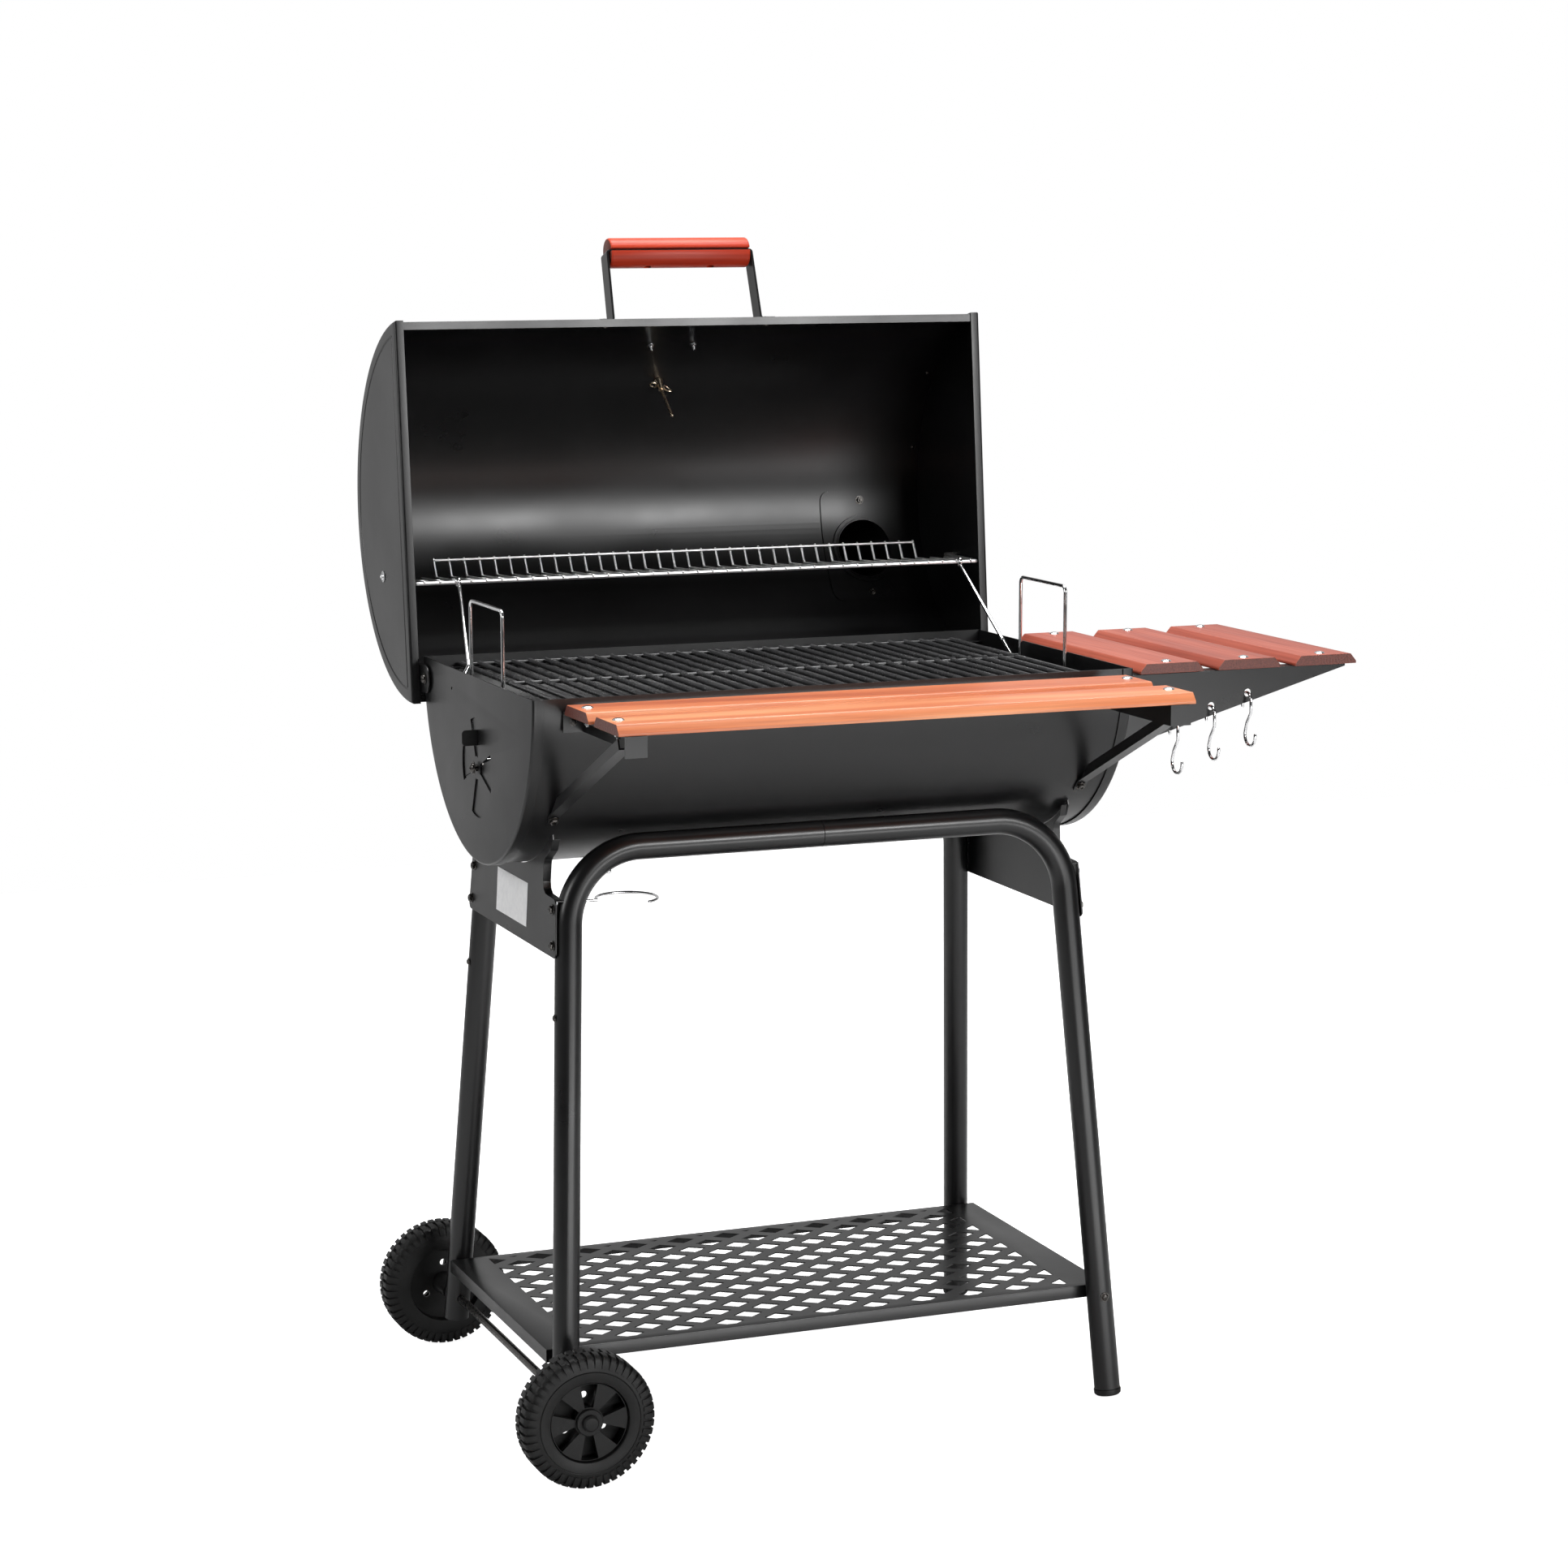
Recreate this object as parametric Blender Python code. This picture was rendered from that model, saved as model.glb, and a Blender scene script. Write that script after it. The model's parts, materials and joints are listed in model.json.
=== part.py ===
"""Barrel charcoal grill on a wheeled tube frame, standing with its lid open.

Metres. +X is to the right along the barrel, +Y is to the rear, +Z is up, and the ground is z = 0.
The lid and everything on it are modelled in the closed position, then turned back on the hinge.
"""

import math

import bmesh
import bpy
from mathutils import Matrix, Quaternion, Vector

MM = 0.001
GAP = 0.3 * MM

# Barrel: a lower half (firebox) and an upper half (lid) that closes over the outside of it.
BARREL_HALF = 381 * MM
BARREL_R = 225 * MM
BARREL_Z = 913 * MM
SHEET = 1.5 * MM
END_FLANGE = 14 * MM
SHELL_R = BARREL_R - SHEET - GAP
SHELL_HALF = BARREL_HALF - SHEET - GAP
ARC_STEPS = 28

LID_HALF = 397 * MM
LID_R = 238.2 * MM
LID_LIP = 11.5 * MM
LID_RIM_Z = BARREL_Z - 6 * MM
LID_AXIS_Z = LID_RIM_Z - 16.6 * MM
LID_SHELL_R = LID_R - SHEET - GAP
LID_SHELL_HALF = LID_HALF - SHEET - GAP
OPEN_ANGLE = math.radians(95.5)
HINGE_Y = 206 * MM
HINGE_Z = 887 * MM
HINGE_EAR_X = 382.9 * MM
HINGE_EAR_T = 2 * MM
PIN_R = 4 * MM
PIN_HOLE_R = 4.4 * MM

# Warming rack: a parallelogram of rack, legs, lid and firebox keeps it level at every lid angle.
RACK_Y = 239.5 * MM
RACK_Z = 1002 * MM
RACK_DEPTH = 106 * MM
RACK_HALF = 384 * MM
RACK_PIVOT_HALF = 401.5 * MM
RACK_WIRE = 3.6 * MM
RACK_WIRES = 38
FENCE_POSTS = 34
RACK_PITCH = 20.2 * MM
FENCE_HEIGHT = 21 * MM
RACK_LEG_TOP_X = {"left": -329 * MM, "right": 358 * MM}
RACK_LEG_KNEE_X = {"left": -357 * MM, "right": 360 * MM}
RACK_LEG_KNEE_Y = 107 * MM
RACK_LEG_KNEE_Z = 914 * MM
RACK_LEG_FOOT_X = 374.5 * MM
RACK_LEG_R = 2 * MM

# Frame: two A-shaped tube frames, one in front of the barrel and one behind it.
TUBE_R = 16 * MM
TUBE_BORE_R = 14.6 * MM
FOOT_X = 356.7 * MM
FOOT_Y = 232.3 * MM
SPLAY_X = 0.0553
SPLAY_Y = 0.1079
RAIL_Z = 724 * MM
LEG_BEND_R = 92 * MM
LEFT_LEG_END_Z = 52 * MM
RIGHT_LEG_END_Z = 10 * MM
PLATE_T = 2 * MM
PLATE_LOW_Z = 599 * MM
SHELF_HALF_X = 368 * MM
SHELF_HALF_Y = 200.5 * MM
SHELF_TOP_Z = 136.5 * MM
SHELF_EDGE = 16 * MM

WHEEL_R = 80.6 * MM
WHEEL_OUTER_Y = 318 * MM
WHEEL_WIDTH = 43 * MM
AXLE_R = 5 * MM
AXLE_HALF = 326 * MM
WHEEL_X = -(FOOT_X - SPLAY_X * WHEEL_R)

# Slats.
SLAT_T = 12.5 * MM
SLAT_CHAMFER = 8 * MM
FRONT_SLAT_HALF = 352 * MM
FRONT_SLAT_W = 84 * MM
FRONT_SLAT_PITCH = 104 * MM
FRONT_SLAT_BACK_Y = -253 * MM
FRONT_SLAT_Z = 898.5 * MM
ARM_X = 319 * MM
BRACE_X = 339.5 * MM
BRACE_ANGLE = math.radians(221.3)
ARM_END_Y = -442 * MM
ARM_HEIGHT = 24 * MM
ARM_FLANGE = 26 * MM
SIDE_SLAT_W = 86 * MM
SIDE_SLAT_PITCH = 107 * MM
SIDE_SLAT_X = 400 * MM
SIDE_SLAT_Z = 902.5 * MM
SIDE_FRONT_Y = -200 * MM
SIDE_REAR_Y = 135 * MM
SIDE_TIP_X = 688 * MM
SIDE_OVERHANG = 7 * MM

HOOK_XS = (451 * MM, 501.3 * MM, 551.6 * MM)
HOOK_R = 1.7 * MM
HOOK_HOLE_R = 5 * MM

DAMPER_Z = 804 * MM
DAMPER_VENT_R = 60 * MM
DAMPER_DISC_R = 66 * MM
CHIMNEY_X = 307.6 * MM
CHIMNEY_Y = 66 * MM
CHIMNEY_R = 40 * MM
CHIMNEY_TOP_Z = 1285 * MM
CHIMNEY_LOW_Z = 1120 * MM

# Angles up the closed lid from its front edge, in degrees.
HANDLE_ANGLE = 13.3
BADGE_ANGLE = 28
DIAL_ANGLE = 46
STUD_X = 29.5 * MM

GRATE_INNER_X = 1.5 * MM
GRATE_OUTER_X = 338 * MM
GRATE_HALF_Y = 218 * MM
GRATE_BAR = 5 * MM
GRATE_BARS = 16
GRATE_MIDDLE_Y = 8 * MM
LEDGE_Z = 898.5 * MM
PAN_Z = 790 * MM
LIFT_HANDLE_X = 366 * MM
LIFT_HANDLE_Z = 998 * MM
LIFT_HANDLE_HALF_Y = 65 * MM


# ---------------------------------------------------------------- scene and materials


def clear_scene():
    """Remove whatever the scene holds."""
    for obj in list(bpy.data.objects):
        bpy.data.objects.remove(obj, do_unlink=True)


def make_material(name, color, roughness, metallic):
    """A plain Principled material."""
    material = bpy.data.materials.new(name)
    material.use_nodes = True
    shader = material.node_tree.nodes["Principled BSDF"]
    shader.inputs["Base Color"].default_value = (*color, 1.0)
    shader.inputs["Roughness"].default_value = roughness
    shader.inputs["Metallic"].default_value = metallic
    material.diffuse_color = (*color, 1.0)
    return material


def add_object(name, bm, material):
    """Turn a bmesh into a named object with its faces looking outward."""
    bmesh.ops.recalc_face_normals(bm, faces=bm.faces)
    mesh = bpy.data.meshes.new(name)
    bm.to_mesh(mesh)
    bm.free()
    mesh.materials.append(material)
    obj = bpy.data.objects.new(name, mesh)
    bpy.context.scene.collection.objects.link(obj)
    return obj


def add_pivot(name, location):
    """An empty that stands on a joint's axis."""
    pivot = bpy.data.objects.new(name, None)
    pivot.location = location
    bpy.context.scene.collection.objects.link(pivot)
    return pivot


def hang_on(pivot, objects):
    """Parent objects to a pivot without moving them."""
    for obj in objects:
        obj.parent = pivot
        obj.matrix_parent_inverse = Matrix.Translation(pivot.location).inverted()


def boolean(obj, other, operation):
    """Join or cut with another mesh, which is then only a helper."""
    other.hide_render = True
    other.display_type = "WIRE"
    modifier = obj.modifiers.new(operation.title() + " " + other.name, "BOOLEAN")
    modifier.operation = operation
    modifier.object = other
    modifier.solver = "EXACT"


# ---------------------------------------------------------------- shapes


def arc(radius, start, end, steps, center=(0.0, 0.0)):
    """Points of a plane arc, angles in radians."""
    return [
        (
            center[0] + radius * math.cos(start + (end - start) * i / steps),
            center[1] + radius * math.sin(start + (end - start) * i / steps),
        )
        for i in range(steps + 1)
    ]


def lower_arc(radius, below, steps=ARC_STEPS):
    """An arc through the bottom, from -Y to +Y, cut off at a height below its centre."""
    lean = math.asin(below / radius)
    return arc(radius, math.pi + lean, 2 * math.pi - lean, steps)


def upper_arc(radius, above, steps=ARC_STEPS):
    """An arc over the top, from -Y to +Y, cut off at a height above its centre."""
    lean = math.asin(above / radius)
    return arc(radius, math.pi - lean, lean, steps)


def prism(name, outline, start, end, axis, material):
    """A straight prism: the outline in the two other axes, extruded from start to end."""
    order = {"X": (2, 0, 1), "Y": (0, 2, 1), "Z": (0, 1, 2)}[axis]
    bm = bmesh.new()
    rings = []
    for height in (start, end):
        ring = []
        for a, b in outline:
            values = (a, b, height)
            ring.append(bm.verts.new([values[order[i]] for i in range(3)]))
        rings.append(ring)
        bm.faces.new(ring)
    count = len(outline)
    for i in range(count):
        j = (i + 1) % count
        bm.faces.new((rings[0][i], rings[0][j], rings[1][j], rings[1][i]))
    return add_object(name, bm, material)


def tray(name, outer, inner, faces_x, material):
    """A pressed sheet tray facing along X: a floor with a wall around it.

    outer and inner are matching (y, z) loops, and faces_x holds the x of the outer face,
    the floor's inner face and the edge of the wall.
    """
    outside, floor, edge = faces_x
    bm = bmesh.new()
    loops = [
        [bm.verts.new((x, y, z)) for y, z in loop]
        for x, loop in ((outside, outer), (edge, outer), (edge, inner), (floor, inner))
    ]
    bm.faces.new(loops[0])
    bm.faces.new(loops[3])
    count = len(outer)
    for near, far in zip(loops, loops[1:]):
        for i in range(count):
            j = (i + 1) % count
            bm.faces.new((near[i], near[j], far[j], far[i]))
    return add_object(name, bm, material)


def blocks(name, boxes, material):
    """The union of axis-aligned boxes, each (x0, x1, y0, y1, z0, z1), as one closed mesh."""
    planes = [sorted({round(box[2 * k + side], 7) for box in boxes for side in (0, 1)}) for k in range(3)]
    counts = [len(p) - 1 for p in planes]
    solid = set()
    for box in boxes:
        spans = [
            range(planes[k].index(round(box[2 * k], 7)), planes[k].index(round(box[2 * k + 1], 7)))
            for k in range(3)
        ]
        solid.update((i, j, k) for i in spans[0] for j in spans[1] for k in spans[2])
    bm = bmesh.new()
    corners = {}

    def corner(i, j, k):
        if (i, j, k) not in corners:
            corners[i, j, k] = bm.verts.new((planes[0][i], planes[1][j], planes[2][k]))
        return corners[i, j, k]

    for cell in solid:
        for axis in range(3):
            for side in (0, 1):
                beyond = list(cell)
                beyond[axis] += 2 * side - 1
                inside = 0 <= beyond[axis] < counts[axis]
                if inside and tuple(beyond) in solid:
                    continue
                u, v = [k for k in range(3) if k != axis]
                square = []
                for du, dv in ((0, 0), (1, 0), (1, 1), (0, 1)):
                    point = list(cell)
                    point[axis] += side
                    point[u] += du
                    point[v] += dv
                    square.append(corner(*point))
                bm.faces.new(square)
    return add_object(name, bm, material)


def lathe(name, profile, axis_point, direction, material, sides=24, ring=False):
    """Turn a profile of (radius, distance along the axis) about a line.

    A solid's profile starts and ends on the axis. A ring's profile closes on itself.
    """
    turn = Vector((0, 0, 1)).rotation_difference(Vector(direction).normalized())
    origin = Vector(axis_point)
    bm = bmesh.new()
    loops = []
    for radius, height in profile:
        if radius == 0:
            loops.append([bm.verts.new(origin + turn @ Vector((0, 0, height)))])
            continue
        loops.append(
            [
                bm.verts.new(
                    origin
                    + turn
                    @ Vector(
                        (
                            radius * math.cos(math.tau * i / sides),
                            radius * math.sin(math.tau * i / sides),
                            height,
                        )
                    )
                )
                for i in range(sides)
            ]
        )
    pairs = list(zip(loops, loops[1:]))
    if ring:
        pairs.append((loops[-1], loops[0]))
    for low, high in pairs:
        for i in range(sides):
            j = (i + 1) % sides
            if len(low) == 1:
                bm.faces.new((low[0], high[j], high[i]))
            elif len(high) == 1:
                bm.faces.new((low[i], low[j], high[0]))
            else:
                bm.faces.new((low[i], low[j], high[j], high[i]))
    return add_object(name, bm, material)


def rod_profile(*steps):
    """A lathe profile for a stepped rod: (radius, from, to) for each step, in order."""
    profile = [(0, steps[0][1])]
    for radius, start, end in steps:
        profile += [(radius, start), (radius, end)]
    return profile + [(0, steps[-1][2])]


def rounded_path(corners, radius, steps=5):
    """A path through the corners, with each inner corner turned at the given radius."""
    points = [Vector(corners[0])]
    for before, here, after in zip(corners, corners[1:], corners[2:]):
        here = Vector(here)
        back = (Vector(before) - here).normalized()
        ahead = (Vector(after) - here).normalized()
        half = back.angle(ahead) / 2
        reach = radius / math.tan(half)
        center = here + (back + ahead).normalized() * radius / math.sin(half)
        start = here + back * reach - center
        sweep = Quaternion(start.cross(here + ahead * reach - center).normalized(), math.pi - 2 * half)
        for i in range(steps + 1):
            points.append(center + Quaternion(sweep.axis, sweep.angle * i / steps) @ start)
    points.append(Vector(corners[-1]))
    return points


def tube(name, path, radius, material, sides=12, bore=None):
    """A round rod along a path, or a tube that is open at both ends when it has a bore."""
    path = [Vector(p) for p in path]
    bm = bmesh.new()
    walls = [radius] if bore is None else [radius, bore]
    rings = {wall: [] for wall in walls}
    tangent = (path[1] - path[0]).normalized()
    side = tangent.orthogonal().normalized()
    for i, point in enumerate(path):
        before = (point - path[max(i - 1, 0)]).normalized()
        after = (path[min(i + 1, len(path) - 1)] - point).normalized()
        ahead = (before + after).normalized()
        side = (tangent.rotation_difference(ahead) @ side).normalized()
        tangent = ahead
        other = tangent.cross(side)
        for wall in walls:
            rings[wall].append(
                [
                    bm.verts.new(
                        point
                        + wall * math.cos(math.tau * k / sides) * side
                        + wall * math.sin(math.tau * k / sides) * other
                    )
                    for k in range(sides)
                ]
            )
    for wall in walls:
        for low, high in zip(rings[wall], rings[wall][1:]):
            for k in range(sides):
                j = (k + 1) % sides
                bm.faces.new((low[k], low[j], high[j], high[k]))
    for end in (0, -1):
        if bore is None:
            bm.faces.new(rings[radius][end])
            continue
        for k in range(sides):
            j = (k + 1) % sides
            bm.faces.new((rings[radius][end][k], rings[radius][end][j], rings[bore][end][j], rings[bore][end][k]))
    return add_object(name, bm, material)


def drill(obj, name, center, direction, radius, length=20 * MM, sides=24):
    """Cut a round hole, centred on a point."""
    profile = rod_profile((radius, -length / 2, length / 2))
    boolean(obj, lathe(name, profile, center, direction, obj.data.materials[0], sides), "DIFFERENCE")


# ---------------------------------------------------------------- firebox


def build_firebox(paint, zinc):
    """Shell with two ledges for the grates, and the two end caps with the lid's pins."""
    inner_r = SHELL_R - SHEET
    ledge_low = LEDGE_Z - BARREL_Z - SHEET
    ledge_high = LEDGE_Z - BARREL_Z
    ledge_y = 212 * MM
    inner_high = math.sqrt(inner_r**2 - ledge_high**2)
    outer = lower_arc(SHELL_R, 0)
    inner = lower_arc(inner_r, -ledge_low)[::-1]
    rear = [(inner_r, 0), (inner_high, ledge_high), (ledge_y, ledge_high), (ledge_y, ledge_low)]
    front = [(-y, z) for y, z in reversed(rear)]
    outline = [(y, BARREL_Z + z) for y, z in outer + rear + inner + front]
    shell = prism("firebox_shell", outline, -SHELL_HALF, SHELL_HALF, "X", paint)
    drill(shell, "cut_drain", (-193 * MM, 0, BARREL_Z - SHELL_R), (0, 0, 1), 7 * MM)

    for side, word in ((-1, "left"), (1, "right")):
        end = build_firebox_end(f"firebox_end_{word}", side, paint)
        x = side * BARREL_HALF
        drill(end, f"cut_hinge_{word}", (x, HINGE_Y, HINGE_Z), (1, 0, 0), PIN_HOLE_R)
        foot_y = HINGE_Y - RACK_DEPTH
        drill(end, f"cut_rack_leg_{word}", (x, foot_y, HINGE_Z), (1, 0, 0), RACK_LEG_R + 0.6 * MM)
        if side < 0:
            cut_vents(end)
        build_hinge_pin(side, word, zinc)


def build_firebox_end(name, side, paint):
    """A half disc with a flange that wraps the outside of the shell."""
    outer = [(y, BARREL_Z + z) for y, z in lower_arc(BARREL_R, 0)]
    inner = [(y, BARREL_Z + z) for y, z in lower_arc(BARREL_R - SHEET, 0)]
    outside = side * BARREL_HALF
    floor = side * (BARREL_HALF - SHEET)
    edge = side * (BARREL_HALF - END_FLANGE)
    bm = bmesh.new()
    loops = [
        [bm.verts.new((x, y, z)) for y, z in loop]
        for x, loop in ((outside, outer), (edge, outer), (edge, inner), (floor, inner))
    ]
    bm.faces.new(loops[0])
    bm.faces.new(loops[3])
    for near, far in zip(loops, loops[1:]):
        for i in range(len(outer) - 1):
            bm.faces.new((near[i], near[i + 1], far[i + 1], far[i]))
    bm.faces.new([loop[0] for loop in loops] + [loop[-1] for loop in reversed(loops)])
    return add_object(name, bm, paint)


def build_hinge_pin(side, word, zinc):
    """A bolt through the firebox's end, with a nut inside it."""
    head_x, nut_x = 4.3 * MM, -SHEET - GAP
    steps = ((7 * MM, nut_x - 5 * MM, nut_x), (PIN_R, nut_x, head_x), (8 * MM, head_x, head_x + 4 * MM))
    at = (side * BARREL_HALF, HINGE_Y, HINGE_Z)
    lathe(f"hinge_pin_{word}", rod_profile(*steps), at, (side, 0, 0), zinc, 12)


def vent_outline(start, end):
    """A wedge between two angles about the damper's centre, in (y, z)."""
    center = (0, DAMPER_Z)
    wedge = arc(DAMPER_VENT_R, start, end, 6, center)
    return wedge + arc(14 * MM, end, start, 3, center)


def cut_vents(obj):
    """Four wedge-shaped air openings around the damper's bolt, and the bolt's hole."""
    half = math.radians(22.5)
    for i in range(4):
        middle = math.pi / 2 * (i + 1)
        wedge = vent_outline(middle - half, middle + half)
        ends = (-BARREL_HALF - 5 * MM, -BARREL_HALF + 5 * MM)
        boolean(obj, prism(f"cut_vent_{i}", wedge, *ends, "X", obj.data.materials[0]), "DIFFERENCE")
    drill(obj, "cut_damper_bolt", (-BARREL_HALF, 0, DAMPER_Z), (1, 0, 0), PIN_HOLE_R)


def build_damper(paint, zinc):
    """A disc behind the vents, turned by a tab that sticks out through the top one."""
    face = -BARREL_HALF + SHEET + GAP
    disc = lathe(
        "air_damper",
        [(PIN_HOLE_R, 0), (DAMPER_DISC_R, 0), (DAMPER_DISC_R, SHEET), (PIN_HOLE_R, SHEET)],
        (face, 0, DAMPER_Z),
        (1, 0, 0),
        paint,
        32,
        ring=True,
    )
    tab = blocks(
        "join_damper_tab",
        [(-BARREL_HALF - 18 * MM, face + SHEET / 2, -0.8 * MM, 0.8 * MM, DAMPER_Z + 22 * MM, DAMPER_Z + 41 * MM)],
        paint,
    )
    boolean(disc, tab, "UNION")
    for i in range(4):
        middle = math.pi / 2 * (i + 1) + math.radians(27)
        wedge = vent_outline(middle - math.radians(20), middle + math.radians(20))
        window = prism(f"cut_window_{i}", wedge, face - 3 * MM, face + 5 * MM, "X", paint)
        boolean(disc, window, "DIFFERENCE")
    hang_on(add_pivot("damper_pivot", (face, 0, DAMPER_Z)), [disc])
    lathe(
        "damper_bolt",
        rod_profile((8 * MM, -5 * MM, -GAP), (PIN_R, -GAP, 3.7 * MM), (7 * MM, 3.7 * MM, 9 * MM)),
        (-BARREL_HALF, 0, DAMPER_Z),
        (1, 0, 0),
        zinc,
        12,
    )


def build_grates(enamel):
    """Two loose wire grates that rest side by side on the shell's ledges."""
    low = LEDGE_Z + GAP
    high = low + GRATE_BAR
    for side, word in ((-1, "left"), (1, "right")):
        x_in, x_out = sorted((side * GRATE_INNER_X, side * GRATE_OUTER_X))
        pitch = (x_out - x_in - GRATE_BAR) / (GRATE_BARS - 1)
        boxes = [
            (x_in + i * pitch, x_in + i * pitch + GRATE_BAR, -GRATE_HALF_Y, GRATE_HALF_Y, low, high)
            for i in range(GRATE_BARS)
        ]
        for y in (-GRATE_HALF_Y, GRATE_MIDDLE_Y, GRATE_HALF_Y - GRATE_BAR):
            boxes.append((x_in, x_out, y, y + GRATE_BAR, low, high))
        blocks(f"cooking_grate_{word}", boxes, enamel)


def build_charcoal_pan(enamel, chrome):
    """A pan for the coals, hung on two wire handles that lift it."""
    half_x, half_y, wall = 330 * MM, 150 * MM, 25 * MM
    top = PAN_Z + wall
    boxes = [
        (-half_x, half_x, -half_y, half_y, PAN_Z, PAN_Z + SHEET),
        (-half_x, -half_x + SHEET, -half_y, half_y, PAN_Z, top),
        (half_x - SHEET, half_x, -half_y, half_y, PAN_Z, top),
        (-half_x, half_x, -half_y, -half_y + SHEET, PAN_Z, top),
        (-half_x, half_x, half_y - SHEET, half_y, PAN_Z, top),
    ]
    pieces = [blocks("charcoal_pan", boxes, enamel)]
    for side, word in ((-1, "left"), (1, "right")):
        x = side * LIFT_HANDLE_X
        foot = side * (half_x + GAP)
        low = PAN_Z + wall / 2
        corners = [
            (foot, -LIFT_HANDLE_HALF_Y, low),
            (x, -LIFT_HANDLE_HALF_Y, low),
            (x, -LIFT_HANDLE_HALF_Y, LIFT_HANDLE_Z),
            (x, LIFT_HANDLE_HALF_Y, LIFT_HANDLE_Z),
            (x, LIFT_HANDLE_HALF_Y, low),
            (foot, LIFT_HANDLE_HALF_Y, low),
        ]
        pieces.append(tube(f"pan_handle_{word}", rounded_path(corners, 8 * MM, 3), 2.2 * MM, chrome, 6))
    hang_on(add_pivot("pan_lift", (0, 0, PAN_Z)), pieces)


def build_grease_ring(chrome):
    """A wire ring that holds a grease can under the drain hole."""
    ring_x, ring_r, ring_z = -193 * MM, 38 * MM, 632 * MM
    hang_z, top = 666 * MM, BARREL_Z - SHELL_R - 2 * GAP
    corners = [
        (-212 * MM, 0, top),
        (-212 * MM, 0, hang_z),
        (-247 * MM, 0, hang_z),
        (-247 * MM, 0, ring_z),
        (ring_x - ring_r - 4 * MM, 0, ring_z),
    ]
    loop = arc(ring_r, math.pi, -math.radians(65), 14, (ring_x, 0))
    path = rounded_path(corners, 3 * MM, 2) + [(x, y, ring_z) for x, y in loop]
    tube("grease_ring", path, 1.7 * MM, chrome, 6)


# ---------------------------------------------------------------- lid


def build_lid_shell(paint):
    """The rolled top with a turned-in lip, and the holes for what is fastened to it."""
    above = LID_RIM_Z - LID_AXIS_Z + SHEET + GAP
    inner_r = LID_SHELL_R - SHEET
    outer = upper_arc(LID_SHELL_R, above)
    inner = upper_arc(inner_r, above + SHEET)[::-1]
    lip_y = outer[-1][0] - LID_LIP + SHEET + GAP
    rear_lip = [(lip_y, above), (lip_y, above + SHEET)]
    front_lip = [(-lip_y, above + SHEET), (-lip_y, above)]
    outline = [(y, LID_AXIS_Z + z) for y, z in outer + rear_lip + inner + front_lip]
    shell = prism("lid_shell", outline, -LID_SHELL_HALF, LID_SHELL_HALF, "X", paint)
    drill(shell, "cut_chimney", (CHIMNEY_X, CHIMNEY_Y, CHIMNEY_LOW_Z), (0, 0, 1), CHIMNEY_R + 1.5 * MM, 120 * MM)
    drill(shell, "cut_thermometer", lid_point(0, DIAL_ANGLE, LID_R), lid_normal(DIAL_ANGLE), 5 * MM)
    for side in (-1, 1):
        at = lid_point(side * STUD_X, BADGE_ANGLE, LID_R)
        drill(shell, f"cut_stud_{side}", at, lid_normal(BADGE_ANGLE), 2.8 * MM)


def build_lid_end(side, word, paint):
    """A pressed half disc with a flange on the arc and a lip along the rim."""
    above = LID_RIM_Z - LID_AXIS_Z
    outer = [(y, LID_AXIS_Z + z) for y, z in upper_arc(LID_R, above)]
    inner = [(y, LID_AXIS_Z + z) for y, z in upper_arc(LID_R - SHEET, above + SHEET)]
    faces = [side * x for x in (LID_HALF, LID_HALF - SHEET, LID_HALF - LID_LIP)]
    end = tray(f"lid_end_{word}", outer, inner, faces, paint)
    drill(end, f"cut_rack_pin_{word}", (side * LID_HALF, *rack_pivot_closed()), (1, 0, 0), 3.6 * MM)


def build_hinge_ear(side, word, paint):
    """An ear inside the lid's end, joined to it by a block, that turns on the firebox's pin."""
    near = side * HINGE_EAR_X
    far = side * (HINGE_EAR_X + HINGE_EAR_T)
    top = LID_RIM_Z + 40 * MM
    outline = arc(17.5 * MM, math.pi, 2 * math.pi, 10, (HINGE_Y, HINGE_Z))
    outline += [(HINGE_Y + 16 * MM, top), (HINGE_Y - 17.5 * MM, top)]
    ear = prism(f"hinge_ear_{word}", outline, near, far, "X", paint)
    drill(ear, f"cut_ear_{word}", (near, HINGE_Y, HINGE_Z), (1, 0, 0), PIN_HOLE_R)
    x0, x1 = sorted((side * (HINGE_EAR_X + HINGE_EAR_T / 2), side * (LID_HALF - SHEET - GAP)))
    half = 12 * MM
    foot = (x0, x1, HINGE_Y - half, HINGE_Y + half, top - 32 * MM, top - 4 * MM)
    boolean(ear, blocks(f"join_ear_{word}", [foot], paint), "UNION")


def lid_normal(degrees):
    """Outward direction on the closed lid, at an angle up from its front edge."""
    angle = math.radians(degrees)
    return Vector((0, -math.cos(angle), math.sin(angle)))


def lid_point(x, degrees, radius):
    """A point at a radius from the closed lid's axis."""
    return Vector((x, 0, LID_AXIS_Z)) + lid_normal(degrees) * radius


def aim(obj, degrees):
    """Stand an object on the closed lid, its local Z along the normal and its local X along the barrel."""
    normal = lid_normal(degrees)
    across = Vector((1, 0, 0))
    turn = Matrix((across, normal.cross(across), normal)).transposed()
    obj.matrix_world = Matrix.Translation(lid_point(0, degrees, LID_R)) @ turn.to_4x4()


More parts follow.
